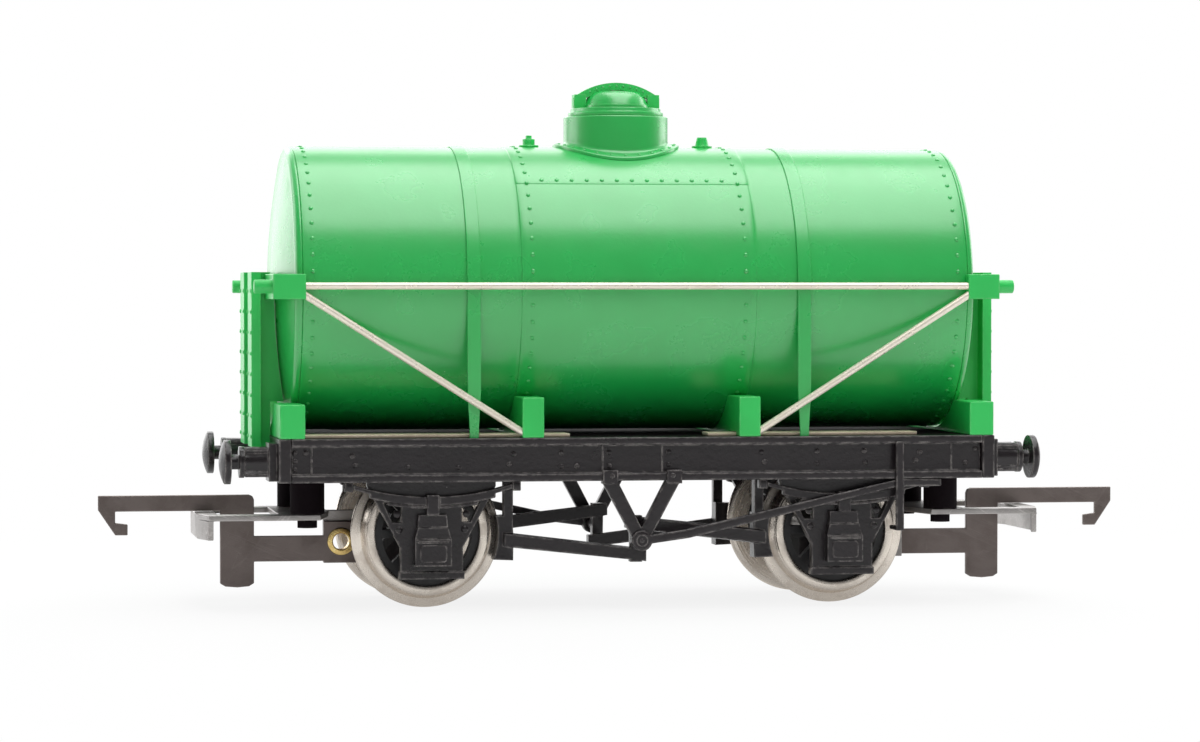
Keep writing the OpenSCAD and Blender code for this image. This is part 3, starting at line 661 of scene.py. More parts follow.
class Finishes:
    """Every finish of the wagon, made once and handed to the sub-assemblies."""

    def __init__(self) -> None:
        """Makes the materials."""
        low, high = node_box("tyres_right")
        wheel_x, wheel_z = (low[0] + high[0]) / 2, (low[2] + high[2]) / 2
        self.green = Plastic(
            "green_plastic", (0.013, 0.49, 0.088), (0.01, 0.44, 0.073), 0.28,
            (0.5, 0.8, 0.5), 0.1, 0.1, 0.35, 0.95,
        ).make()
        self.bright_green = Plastic(
            "green_plastic", (0.018, 0.62, 0.11), (0.014, 0.55, 0.093), 0.4,
            (0.5, 0.85, 0.5), 0.14, 0.2, 0.6, 0.6,
        ).make()
        # The black plastic's edges are painted much paler: partly rubbed wear, partly a painted highlight.
        self.black = Plastic(
            "black_plastic", (0.0095, 0.0062, 0.0079), (0.0145, 0.0105, 0.0128), 0.29,
            (0.5, 0.46, 0.44), 0.2, 0.6, 1.3, 0.42,
        ).make()
        self.dull_black = Plastic(
            "black_plastic", (0.0095, 0.0062, 0.0079), (0.0145, 0.0105, 0.0128), 0.8,
            (0.3, 0.27, 0.25), 0.2, 0.2, 1.3, 0.04,
        ).make()
        self.wheel_black = Plastic(
            "wheel_plastic", (0.009, 0.009, 0.010), (0.013, 0.012, 0.013), 0.42,
            (0.22, 0.21, 0.21), 0.08, 0.12, 0.8,
        ).make()
        nickel = ((0.8, 0.73, 0.65), (0.3, 0.21, 0.15), 0.25)
        self.tyre = {
            end: TurnedSteel("nickel_tyre", *nickel, end.value * wheel_x, wheel_z).make() for end in End
        }
        self.axle = Steel(
            "axle_steel", (0.36, 0.34, 0.32), (0.16, 0.12, 0.1), 0.34, (1.0, 8.0, 1.0), 0.4, 0.3
        ).make()
        self.brass = Steel(
            "eyelet_brass", (0.78, 0.56, 0.22), (0.3, 0.17, 0.06), 0.22, (1.0, 4.0, 1.0), 0.35, 0.25
        ).make()
        self.plate = Steel(
            "plate_steel", (0.42, 0.4, 0.39), (0.2, 0.18, 0.17), 0.36, (0.3, 2.0, 2.0), 0.5, 0.35
        ).make()
        self.hook = Steel(
            "hook_steel", (0.19, 0.16, 0.15), (0.115, 0.09, 0.08), 0.36, (0.4, 1.0, 1.6), 0.4, 0.07, 0.35
        ).make()
        self.wire = Steel(
            "bright_wire", (0.95, 0.87, 0.74), (0.55, 0.36, 0.22), 0.24, (0.3, 0.8, 0.8), 0.12, 0.03, 0.1, 0.4
        ).make()
        self.deck_steel = Steel(
            "deck_steel", (0.7, 0.58, 0.44), (0.36, 0.27, 0.18), 0.45, (0.2, 2.0, 2.0), 0.5, 0.2, 0.3, 0.15
        ).make()


# ---- Sub-assemblies ----

BETWEEN_WHEELS = 12.2
WELD_DISTANCE = 0.001
POLE_DISTANCE = 0.0004
THIN_DISTANCE = 0.0002
FLAT_ANGLE = 0.5
SHARP_ANGLE = 34.0
FACE_WEIGHT = 60


class SubAssembly:
    """Pieces that belong together: CAD nodes with a finish, and new surfaces."""

    def __init__(self, finishes: Finishes) -> None:
        """Keeps the finishes to dress its pieces with."""
        self.finishes = finishes

    def build(self) -> None:
        """Makes and dresses the pieces."""
        raise NotImplementedError

    def keep(
        self, finish: bpy.types.Material, *names: str, edge: float = 0.0, swell: float = 0.0
    ) -> None:
        """Dresses CAD nodes, and rounds their sharp edges with modifiers if asked.

        Args:
            finish: the nodes' material.
            names: the nodes.
            edge: the width of the rounded edges in millimetres, or 0 for none.
            swell: how far the surface is pushed out between the wheels, in millimetres.
        """
        for name in names:
            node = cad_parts[name]
            node.data.materials.clear()
            node.data.materials.append(finish)
            node.data.polygons.foreach_set("material_index", np.zeros(len(node.data.polygons), int))
            if edge:
                self._round_edges(node, edge, swell)
            LOG.info("kept %s in %s", name, finish.name)

    @staticmethod
    def _round_edges(node: bpy.types.Object, edge: float, swell: float) -> None:
        """Joins a node's loose triangles, makes flat faces whole and rounds its sharp edges.

        Args:
            node: the CAD node's object.
            edge: the width of the rounding, in millimetres.
            swell: how far the surface is pushed out between the wheels, in millimetres.
        """
        normals = node.data.attributes.get("custom_normal")
        if normals is not None:
            node.data.attributes.remove(normals)
        node.data.polygons.foreach_set("use_smooth", np.ones(len(node.data.polygons), bool))
        weld = node.modifiers.new("join", "WELD")
        weld.merge_threshold = WELD_DISTANCE * MM
        if swell:
            points = np.empty(3 * len(node.data.vertices))
            node.data.vertices.foreach_get("co", points)
            between = np.nonzero(np.abs(points[::3]) < BETWEEN_WHEELS * MM)[0]
            node.vertex_groups.new(name="between").add(between.tolist(), 1.0, "REPLACE")
            push = node.modifiers.new("swell", "DISPLACE")
            push.vertex_group = "between"
            push.strength = swell * MM
            push.mid_level = 0.0
        flat = node.modifiers.new("flatten", "DECIMATE")
        flat.decimate_type = "DISSOLVE"
        flat.angle_limit = math.radians(FLAT_ANGLE)
        bevel = node.modifiers.new("round", "BEVEL")
        bevel.width = edge * MM
        bevel.segments = 2
        bevel.limit_method = "ANGLE"
        bevel.angle_limit = math.radians(SHARP_ANGLE)
        shade = node.modifiers.new("shade", "WEIGHTED_NORMAL")
        shade.weight = FACE_WEIGHT

    def add(
        self,
        name: str,
        shape: Shape,
        finish: bpy.types.Material,
        body: Body = Body.WAGON,
        stands_for: Sequence[str] = (),
        crease: float = 38.0,
    ) -> bpy.types.Object:
        """Makes a new piece from a shape, closes its poles and lets it ride on a body.

        Args:
            name: the piece's name.
            shape: its surface.
            finish: its material.
            body: the body it rides on.
            stands_for: the CAD nodes it is shown in place of.
            crease: the angle in degrees past which an edge stays sharp.
        Returns:
            The piece.
        """
        mesh = bpy.data.meshes.new(name)
        mesh.from_pydata((shape.points * MM).tolist(), [], shape.faces.tolist())
        work = bmesh.new()
        work.from_mesh(mesh)
        bmesh.ops.remove_doubles(work, verts=work.verts, dist=POLE_DISTANCE * MM)
        bmesh.ops.dissolve_degenerate(work, edges=work.edges, dist=THIN_DISTANCE * MM)
        bmesh.ops.recalc_face_normals(work, faces=work.faces)
        work.to_mesh(mesh)
        work.free()
        mesh.polygons.foreach_set("use_smooth", np.ones(len(mesh.polygons), bool))
        mesh.set_sharp_from_angle(angle=math.radians(crease))
        mesh.materials.append(finish)
        piece = link(name, mesh)
        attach(piece, body.value)
        if stands_for:
            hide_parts(*stands_for)
        LOG.info("made %s: %d faces, rides on %s", name, len(mesh.polygons), body.value)
        return piece


@dataclass
class TankShell(SubAssembly):
    """The tank's plates and dished ends, its seams, and the rivets along them."""

    finishes: Finishes
    lap: float = 0.1
    middle_half: float = 11.4
    seam_turn: float = 44.0
    seam_step: float = 0.05
    seam_fade: float = 13.0
    rim_drop: float = 0.09
    rim_round: float = 0.7
    dish: float = 1.3
    rivet_radius: float = 0.21
    rivet_height: float = 0.13
    ring_rivets: int = 54
    ring_inset: float = 0.95
    lap_inset: float = 1.05
    seam_pitch: float = 1.5
    seam_rivet_drop: float = 2.3

    def __post_init__(self) -> None:
        """Reads the tank's sizes from its node."""
        low, high = node_box("tank_barrel")
        self.rim_x = float(high[0])
        self.middle_radius = float(high[2] - low[2]) / 2
        self.axis_z = float(high[2] + low[2]) / 2
        self.radius = self.middle_radius - self.lap

    def build(self) -> None:
        """Makes the plates, both ends and all rivets."""
        green = self.finishes.green
        self.add("tank_plates", self.plates(), green, stands_for=["tank_barrel"])
        for end in End:
            name = f"tank_end_{end.label}"
            self.add(f"dished_end_{end.label}", self.dished_end().at(end), green, stands_for=[name])
        self.add("tank_rivets", self.rivets(), green)

    def wall(self, x: Array, turn: Array) -> Array:
        """The radius of the plates: the outer plates' radius, plus the lap where the middle plate
        lies over them, plus a small step at the long seam that fades out above it, less a
        rounding where a plate meets its dished end.

        Args:
            x: places along the tank.
            turn: turns from the crown in degrees.
        Returns:
            The radius at each pair.
        """
        over = smooth_step((self.middle_half - np.abs(x)) / 0.08 + 0.5)
        above = self.seam_turn - np.abs(turn)
        step = smooth_step(above / 0.35) * (1.0 - smooth_step(above / self.seam_fade))
        rim = smooth_step((np.abs(x) - self.rim_x + 0.1) / 0.1) ** 2
        return self.radius + over * (self.lap + self.seam_step * step) - self.rim_drop * rim

    def plates(self) -> Shape:
        """The three plates as one surface: at x and turn t it lies at (x, R sin t, z + R cos t),
        where R is the wall's radius there. Its two ends are closed."""
        laps = self.middle_half + np.array([-0.05, -0.02, 0.0, 0.02, 0.05])
        rims = self.rim_x - np.array([0.0, 0.015, 0.03, 0.06, 0.1])
        x = np.unique(np.concatenate([np.linspace(-self.rim_x, self.rim_x, 61), laps, -laps, rims, -rims]))
        seams = self.seam_turn + np.array([-0.35, -0.25, -0.12, 0.0, 0.1])
        turn = np.unique(np.concatenate([np.linspace(-180.0, 180.0, 181), seams, -seams]))[:-1]
        grid_x, grid_turn = np.meshgrid(x, turn, indexing="ij")
        radius = self.wall(grid_x, grid_turn)
        radius = np.vstack([0 * radius[:1], radius, 0 * radius[:1]])
        grid_x = np.vstack([grid_x[:1], grid_x, grid_x[-1:]])
        angle = np.radians(np.vstack([grid_turn[:1], grid_turn, grid_turn[-1:]]))
        points = [grid_x, radius * np.sin(angle), self.axis_z + radius * np.cos(angle)]
        return grid_surface(np.stack(points, -1))

    def dished_end(self) -> Shape:
        """The right end: a rounded rim, an arc of a circle, and then a shallow cap, whose height
        over its rim is that of a ball through its rim and its middle."""
        inner = self.radius - self.rim_round
        arc = np.radians(np.linspace(9.0, 88.0, 14))
        rim = np.stack([inner + self.rim_round * np.cos(arc), self.rim_x + self.rim_round * np.sin(arc)], -1)
        away = inner * (1.0 - np.linspace(0.0, 1.0, 22) ** 1.3)
        ball = (inner**2 + self.dish**2) / (2.0 * self.dish)
        rise = np.sqrt(ball**2 - away**2) - (ball - self.dish)
        cap = np.stack([away, self.rim_x + self.rim_round + rise], -1)
        start = [
            (0.0, self.rim_x), (self.radius - 0.1, self.rim_x + 0.004),
            (self.radius - 0.03, self.rim_x + 0.04),
        ]
        return turned([*start, *rim.tolist(), *cap.tolist()], axis="X", sides=160).moved(z=self.axis_z)

    def rivets(self) -> Shape:
        """Rings of rivets at the rims and laps, and a row above each long seam."""
        ring = np.linspace(-180.0, 180.0, self.ring_rivets, endpoint=False) + 180.0 / self.ring_rivets
        rims = [s * (self.rim_x - self.ring_inset) for s in (-1, 1)]
        laps = [s * (self.middle_half - self.lap_inset) for s in (-1, 1)]
        x, turn = (g.ravel() for g in np.meshgrid(rims + laps, ring, indexing="ij"))
        reach = self.middle_half - self.lap_inset - self.seam_pitch
        along = np.linspace(-reach, reach, round(2 * reach / self.seam_pitch) + 1)
        for side in (-1, 1):
            x = np.concatenate([x, along])
            seam = side * (self.seam_turn - self.seam_rivet_drop)
            turn = np.concatenate([turn, np.full(len(along), seam)])
        angle = np.radians(turn)
        normal = np.stack([0 * x, np.sin(angle), np.cos(angle)], -1)
        place = normal * self.wall(x, turn)[:, None] + np.stack([x, 0 * x, 0 * x + self.axis_z], -1)
        return scattered(rivet(self.rivet_radius, self.rivet_height), place, normal)


@dataclass
class TankStraps(SubAssembly):
    """The two bands over the tank, straight and narrower down to the deck."""

    finishes: Finishes
    thickness: float = 0.35
    crown_thickness: float = 0.16
    foot_width: float = 0.87
    taper: float = 5.0
    thinning: float = 0.7

    def build(self) -> None:
        """Makes a band at each end."""
        for end in End:
            name = f"tank_strap_{end.label}"
            self.add(f"band_{end.label}", self.band().at(end), self.finishes.green, stands_for=[name])

    def band(self) -> Shape:
        """The right band: a soft rectangle carried up one side, over the tank on a half circle
        and down the other side. Its width grows from the foot upwards, and it thins smoothly
        towards the crown with its inner face kept on the tank."""
        low, high = node_box("tank_strap_right")
        barrel_low, barrel_high = node_box("tank_barrel")
        axis_z = (barrel_low[2] + barrel_high[2]) / 2
        middle = high[1] - self.thickness / 2
        rise = np.linspace(low[2], axis_z, 24, endpoint=False)
        turn = np.linspace(-np.pi / 2, np.pi / 2, 91)
        flat = np.zeros_like(rise)
        arc = np.stack([middle * np.sin(turn), axis_z + middle * np.cos(turn)], -1)
        yz = np.vstack([np.stack([flat - middle, rise], -1), arc, np.stack([flat + middle, rise[::-1]], -1)])
        x = (low[0] + high[0]) / 2
        path = np.column_stack([np.full(len(yz), x), yz])
        out = np.column_stack([0 * yz[:, 0], yz[:, 0], np.maximum(yz[:, 1] - axis_z, 0.0)])
        out /= np.linalg.norm(out, axis=1, keepdims=True)
        grow = smooth_step((yz[:, 1] - low[2]) / self.taper)
        width = self.foot_width + (high[0] - low[0] - self.foot_width) * grow
        thin = smooth_step((yz[:, 1] - axis_z) / (self.thinning * middle))
        thin = thin * (self.thickness - self.crown_thickness)
        section = soft_rectangle(width / 2, (self.thickness - thin) / 2)
        return swept(path - out * thin[:, None] / 2, ALONG, out, section)


@dataclass
class DomeAndFittings(SubAssembly):
    """The dome on the tank's crown with its lid and clamp, and the two small vents."""

    finishes: Finishes
    wall_radius: float = 5.15
    flange: float = 1.1
    flange_height: float = 0.3
    fillet: float = 0.35
    wall_round: float = 0.14
    cap_radius: float = 3.2
    cap_power: float = 6.0
    cap_foot: float = 1.2
    flange_rivets: int = 26
    flange_rivet: tuple[float, float] = (0.17, 0.12)
    flange_rivet_out: float = 0.68
    clamp_rivets: int = 9
    clamp_rivet: tuple[float, float] = (0.12, 0.07)
    clamp_half_depth: float = 0.6
    clamp_rise: float = 1.5
    clamp_share: float = 0.62
    clamp_inset: float = 0.35
    flange_turn: float = 0.12

    def __post_init__(self) -> None:
        """Reads the crown and the dome's top from their nodes."""
        low, high = node_box("tank_barrel")
        self.tank_radius = float(high[2] - low[2]) / 2
        self.axis_z = float(high[2] + low[2]) / 2
        self.top = float(node_box("dome")[1][2])

    def build(self) -> None:
        """Makes the dome, its rivets and its lid, and dresses the clamp and the vents."""
        green = self.finishes.green
        self.add("dome_wall", self.wall(), green, stands_for=["dome"])
        self.add("lid", self.lid(), green, stands_for=["dome_lid"])
        self.add("dome_rivets", self.rivets(), green)
        self.keep(self.finishes.bright_green, "lid_clamp", edge=0.16)
        self.keep(self.finishes.bright_green, "relief_valve", "mushroom_vent", edge=0.12)

    def saddle_height(self, radius: Array, turn: Array, raised: float) -> Array:
        """The height of the tank's crown, raised by a plate, over the point at a radius and turn
        from the dome's axis: the root of the crown's radius squared less the point's y squared.

        Args:
            radius: distances from the dome's axis.
            turn: turns about it in radians.
            raised: the plate's thickness.
        Returns:
            The heights.
        """
        return self.axis_z + np.sqrt((self.tank_radius + raised) ** 2 - (radius * np.sin(turn)) ** 2)

    def wall(self) -> Shape:
        """The flange and the wall as rows of rings. The lower rings follow the crown, a quarter
        circle turns the flange up into the wall, and the upper rings are level."""
        reach = self.wall_radius + self.flange
        quarter = np.radians(np.linspace(0.0, 90.0, 7))
        fillet_r = self.wall_radius + self.fillet * (1.0 - np.sin(quarter))
        fillet_z = self.fillet * (1.0 - np.cos(quarter))
        radius = np.concatenate([[reach, reach, reach - 0.03, reach - 0.1], fillet_r])
        raised = np.array([-self.flange_height, -0.1, -0.03, 0.0] + fillet_z.tolist())
        turn = np.linspace(0.0, 2.0 * np.pi, 120, endpoint=False)
        grid_r, grid_t = np.meshgrid(radius, turn, indexing="ij")
        low = self.saddle_height(grid_r, grid_t, self.flange_height) + raised[:, None]
        round_r = self.wall_radius - self.wall_round * (1.0 - np.cos(quarter))
        round_z = self.top - self.wall_round * (1.0 - np.sin(quarter))
        level_r = np.concatenate([round_r, [0.0]])
        level_z = np.concatenate([round_z, [self.top]])
        grid_r = np.vstack([grid_r, np.repeat(level_r[:, None], len(turn), 1)])
        grid_z = np.vstack([low, np.repeat(level_z[:, None], len(turn), 1)])
        grid_t = np.broadcast_to(turn, grid_r.shape)
        points = [grid_r * np.cos(grid_t), grid_r * np.sin(grid_t), grid_z]
        return grid_surface(np.stack(points, -1))

    def lid(self) -> Shape:
        """The lid turned about its axis: a thin rim, a step, and a full domed cap whose height over
        its foot falls with a power of the distance from its middle."""
        low, high = node_box("dome_lid")
        rim = float(high[0])
        height = float(high[2] - low[2])
        cap, foot = self.cap_radius, self.cap_foot
        away = cap * (1.0 - np.linspace(0.0, 1.0, 20) ** 1.5)
        dome = np.stack([away, foot + (height - foot) * (1.0 - (away / cap) ** self.cap_power)], -1)
        steps = [
            (0.0, 0.0), (rim - 0.12, 0.0), (rim - 0.03, 0.03), (rim, 0.12), (rim, 0.34), (rim - 0.04, 0.42),
            (rim - 0.12, 0.45), (rim - 0.2, 0.47), (rim - 0.25, 0.55), (rim - 0.25, 0.75), (rim - 0.29, 0.82),
            (rim - 0.37, 0.85), (cap + 0.2, 0.85), (cap + 0.13, 0.9), (cap + 0.12, 1.1), (cap + 0.08, 1.18),
            (cap + 0.03, foot),
        ]
        return turned([*steps, *dome.tolist()]).moved(z=self.top)

    def rivets(self) -> Shape:
        """Rivets round the flange, round the lid's rim and along both faces of the clamp's arch."""
        turn = np.linspace(0.0, 2.0 * np.pi, self.flange_rivets, endpoint=False) + self.flange_turn
        radius = self.wall_radius + self.flange_rivet_out
        z = self.saddle_height(radius, turn, self.flange_height)
        place = np.stack([radius * np.cos(turn), radius * np.sin(turn), z], -1)
        normal = place * np.array([0.0, 1.0, 1.0]) - np.array([0.0, 0.0, self.axis_z])
        head = scattered(rivet(*self.flange_rivet), place, normal)
        high = node_box("lid_clamp")[1]
        foot = float(high[0])
        arch = (foot**2 + self.clamp_rise**2) / (2.0 * self.clamp_rise)
        share = np.linspace(-self.clamp_share, self.clamp_share, self.clamp_rivets)
        lean = share * math.asin(foot / arch)
        mid = arch - self.clamp_inset
        x, z = mid * np.sin(lean), float(high[2]) - arch + mid * np.cos(lean)
        for side in (-1.0, 1.0):
            place = np.stack([x, 0 * x + side * self.clamp_half_depth, z], -1)
            head += scattered(rivet(*self.clamp_rivet), place, -side * OUTWARDS)
        return head


@dataclass
class Seating(SubAssembly):
    """What holds the tank: saddles, cradles, end beams and posts, stay wires and deck strips."""

    finishes: Finishes
    post_middle: float = 4.5
    post_width: float = 4.4
    rivet_size: tuple[float, float] = (0.2, 0.13)
    rivet_pitch: float = 2.0
    rivet_inset: float = 0.36
    rivets_from: float = 1.0
    rivets_to: float = 0.6

    def build(self) -> None:
        """Dresses the nodes and adds the posts' rivets."""
        green = self.finishes.bright_green
        ends = [f"{kind}_{end.label}" for kind in ("end_beam", "end_posts") for end in End]
        self.keep(green, "centre_saddles", "end_cradles", *ends, edge=0.13)
        self.keep(self.finishes.wire, "stay_wires_near", "stay_wires_far")
        self.keep(self.finishes.deck_steel, "deck_strips", edge=0.1)
        for end in End:
            self.add(f"post_rivets_{end.label}", self.post_rivets().at(end), green)

    def post_rivets(self) -> Shape:
        """Rivets down both edges of the right end's post plates, at a steady pitch."""
        low, high = node_box("end_posts_right")
        z = np.arange(low[2] + self.rivets_from, high[2] - self.rivets_to, self.rivet_pitch)
        edge = self.post_width / 2 - self.rivet_inset
        y = np.array([s * self.post_middle + t * edge for s in (-1, 1) for t in (-1, 1)])
        grid_y, grid_z = (g.ravel() for g in np.meshgrid(y, z, indexing="ij"))
        place = np.stack([0 * grid_y + high[0], grid_y, grid_z], -1)
        return scattered(rivet(*self.rivet_size), place, ALONG)


@dataclass
class Frame(SubAssembly):
    """The floor, the channel-shaped solebars with bolts and joint plates, and the headstocks."""

    finishes: Finishes
    bead_half: tuple[float, float] = (0.1, 0.06)
    web_depth: float = 0.8
    flange: float = 0.72
    bolt_radius: float = 0.27
    bolt_height: float = 0.2
    bolts: tuple[tuple[float, float], ...] = (
        (-33.15, 15.25), (-32.1, 15.25), (-33.15, 14.45), (-33.15, 13.65), (-27.7, 14.9), (-27.4, 14.0),
        (-22.4, 13.8), (-17.6, 13.75), (-12.3, 15.0), (-12.7, 14.05), (-7.7, 15.1), (-7.7, 13.8),
        (-6.2, 13.8), (-3.1, 15.1), (-3.1, 13.8), (2.7, 15.1), (2.7, 13.9), (11.8, 15.0), (12.1, 14.1),
        (17.25, 15.1), (17.25, 13.9), (21.9, 15.1), (22.05, 13.95), (27.4, 14.9), (27.0, 14.1),
        (31.95, 13.85), (33.0, 15.2),
    )
    joints: tuple[float, ...] = (-31.55, -3.7, 2.06, 30.55)

    def build(self) -> None:
        """Dresses the nodes and adds the solebars' bolts and joint lines."""
        black = self.finishes.black
        self.keep(self.finishes.dull_black, "floor", edge=0.12)
        self.keep(black, "headstock_left", "headstock_right", edge=0.12)
        self.keep(black, "solebar_near", "solebar_far", edge=0.1)
        for side in Side:
            detail = self.bolt_heads() + self.joint_lines()
            self.add(f"solebar_detail_{side.label}", detail.on(side), black)

    def web_y(self) -> float:
        """Where the near solebar's web lies."""
        return float(node_box("solebar_near")[0][1]) + self.web_depth

    def bolt_heads(self) -> Shape:
        """Domed bolt heads on the near web."""
        spots = np.array(self.bolts)
        place = np.column_stack([spots[:, 0], np.full(len(spots), self.web_y()), spots[:, 1]])
        return scattered(rivet(self.bolt_radius, self.bolt_height), place, OUTWARDS)

    def joint_lines(self) -> Shape:
        """Thin upright beads on the near web: a soft rectangle carried straight up."""
        low, high = node_box("solebar_near")
        z = np.linspace(low[2] + self.flange + 0.02, high[2] - self.flange - 0.02, 2)
        width, rise = self.bead_half
        line: Shape | None = None
        for x in self.joints:
            path = np.column_stack([np.full(2, x), np.full(2, self.web_y()), z])
            bead = swept(path, ALONG, OUTWARDS, soft_rectangle(np.full(2, width), np.full(2, rise), 12))
            line = bead if line is None else line + bead
        return line


@dataclass
class RunningGear(SubAssembly):
    """Axle guards, axleboxes and leaf springs at the four wheels."""

    finishes: Finishes
    bolt_size: tuple[float, float] = (0.36, 0.22)
    bolt_spots: tuple[tuple[float, float], ...] = ((-3.15, 7.82), (3.15, 7.82), (-3.3, 9.3), (3.3, 9.3))
    cover_rise: float = 1.2
    cover_half: tuple[float, float] = (1.3, 0.85)
    cover_bead_rise: float = 2.3
    cover_bead_half: tuple[float, float] = (1.55, 0.12)
    leaf_depth: float = 0.52
    leaf_width: float = 1.0
    leaf_foot: float = 9.98
    leaf_bend: float = 0.0203
    leaf_half: float = 4.3
    leaf_thickness: float = 0.3

    def build(self) -> None:
        """Dresses the nodes and adds bolts, covers and short leaves."""
        black = self.finishes.black
        for end in End:
            for side in Side:
                place = f"{end.label}_{side.label}"
                self.keep(black, f"axle_guard_{place}", edge=0.12)
                self.keep(black, f"axlebox_{place}", f"leaf_spring_{place}", edge=0.1)
                self.add(f"guard_detail_{place}", self.detail().at(end, side), black)

    def detail(self) -> Shape:
        """Bolt heads, the axlebox's cover and the shortest leaf at the right near wheel."""
        low, high = node_box("axlebox_right_near")
        axle_x = float(low[0] + high[0]) / 2
        guard_y = float(high[1])
        front_y = float(low[1])
        spots = np.array(self.bolt_spots)
        place = np.column_stack([spots[:, 0] + axle_x, np.full(len(spots), guard_y), spots[:, 1]])
        heads = scattered(rivet(*self.bolt_size, 10), place, OUTWARDS)
        return heads + self.cover(axle_x, front_y, float(low[2])) + self.short_leaf(axle_x, guard_y)

    def cover(self, x: float, front_y: float, foot_z: float) -> Shape:
        """A raised oil cover on the box's lower front, with a bead across it: soft rectangles
        carried straight out of the face.

        Args:
            x: the axle's place along the wagon.
            front_y: where the box's front lies.
            foot_z: the height of the box's foot.
        Returns:
            The cover and its bead.
        """
        rise = np.array([-0.05, 0.07, 0.1, 0.1])
        shrink = np.array([1.0, 1.0, 0.97, 0.9])
        plate = np.array([x, front_y, foot_z + self.cover_rise]) + rise[:, None] * OUTWARDS
        bead = np.array([x, front_y, foot_z + self.cover_bead_rise]) + rise[:, None] * 1.6 * OUTWARDS
        section = soft_rectangle(*(half * shrink for half in self.cover_half))
        bead_section = soft_rectangle(*(half * shrink for half in self.cover_bead_half))
        return swept(plate, ALONG, UPWARDS, section) + swept(bead, ALONG, UPWARDS, bead_section)

    def short_leaf(self, x: float, guard_y: float) -> Shape:
        """The shortest leaf, under the others: a soft rectangle carried along a shallow arc whose
        height grows with the square of the distance from the middle.

        Args:
            x: the axle's place along the wagon.
            guard_y: where the axle guard's face lies.
        Returns:
            The leaf.
        """
        along = np.linspace(-self.leaf_half, self.leaf_half, 25)
        z = self.leaf_foot + self.leaf_bend * along**2
        path = np.column_stack([x + along, 0 * along + guard_y - self.leaf_depth, z])
        lean = np.column_stack([-2 * self.leaf_bend * along, 0 * along, 1 + 0 * along])
        lean /= np.linalg.norm(lean, axis=1, keepdims=True)
        half_width, half_height = 0 * along + self.leaf_width / 2, 0 * along + self.leaf_thickness / 2
        return swept(path, -OUTWARDS, lean, soft_rectangle(half_width, half_height))


@dataclass
class BrakeGear(SubAssembly):
    """The vees, levers, guards, shoes and rods under both sides."""

    finishes: Finishes
    bolt_size: tuple[float, float] = (0.27, 0.16)
    foot_x: float = 2.94
    foot_z: float = 12.88
    pin_z: float = 6.65

    def build(self) -> None:
        """Dresses the nodes and adds the bolts of the vees' feet and the levers' guards."""
        black = self.finishes.black
        for side in Side:
            names = [f"{kind}_{side.label}" for kind in ("brake_vee", "brake_shoes", "brake_lever")]
            self.keep(black, *names, edge=0.13, swell=0.13)
            self.keep(black, f"lever_guard_{side.label}", edge=0.12)
            self.add(f"brake_bolts_{side.label}", self.bolts().on(side), black)

    def bolts(self) -> Shape:
        """Bolt heads on the near vee's feet and on the lever's pin."""
        foot = node_box("brake_vee_near")[0]
        lever = node_box("brake_lever_near")[0]
        feet = [[side * self.foot_x, foot[1], self.foot_z] for side in (-1.0, 1.0)]
        place = np.array([*feet, [0.0, lever[1], self.pin_z]])
        return scattered(rivet(*self.bolt_size, 10), place, OUTWARDS)


@dataclass
class Wheelsets(SubAssembly):
    """Two axles, each with a pair of spoked wheels in turned metal tyres."""

    finishes: Finishes
    tyre_crease: float = 28.0

    def build(self) -> None:
        """Makes the tyres and dresses the centres and axles."""
        for end in End:
            body = Body.WHEELS_LEFT if end is End.LEFT else Body.WHEELS_RIGHT
            low, high = node_box(f"tyres_{end.label}")
            middle = ((low[0] + high[0]) / 2, (low[2] + high[2]) / 2)
            tyre = self.tyre().moved(x=middle[0], z=middle[1])
            self.add(
                f"turned_tyres_{end.label}", tyre + tyre.mirrored(), self.finishes.tyre[end],
                body, stands_for=[f"tyres_{end.label}"], crease=self.tyre_crease,
            )
            self.keep(self.finishes.wheel_black, f"wheel_centres_{end.label}", edge=0.1)
            self.keep(self.finishes.axle, f"axle_{end.label}")

    def tyre(self) -> Shape:
        """The far tyre turned about the axle: a rounded flange, a coned tread, a fine groove, and
        a front ring with a chamfer on both edges."""
        profile = [
            (5.05, 7.26), (5.11, 7.2), (6.6, 7.2), (6.8, 7.22), (6.98, 7.28), (7.1, 7.37), (7.17, 7.46),
            (7.198, 7.56), (7.17, 7.66), (7.08, 7.75), (6.6, 7.89), (6.42, 7.96), (6.31, 8.04), (6.25, 8.16),
            (5.93, 9.4), (5.9, 9.42), (5.76, 9.44), (5.74, 9.47), (5.76, 9.51), (5.86, 9.53), (5.88, 9.56),
            (5.86, 9.78), (5.82, 9.86), (5.74, 9.9), (5.16, 9.9), (5.08, 9.87), (5.05, 9.82), (5.05, 7.26),
        ]
        return turned(profile, axis="Y", sides=160)


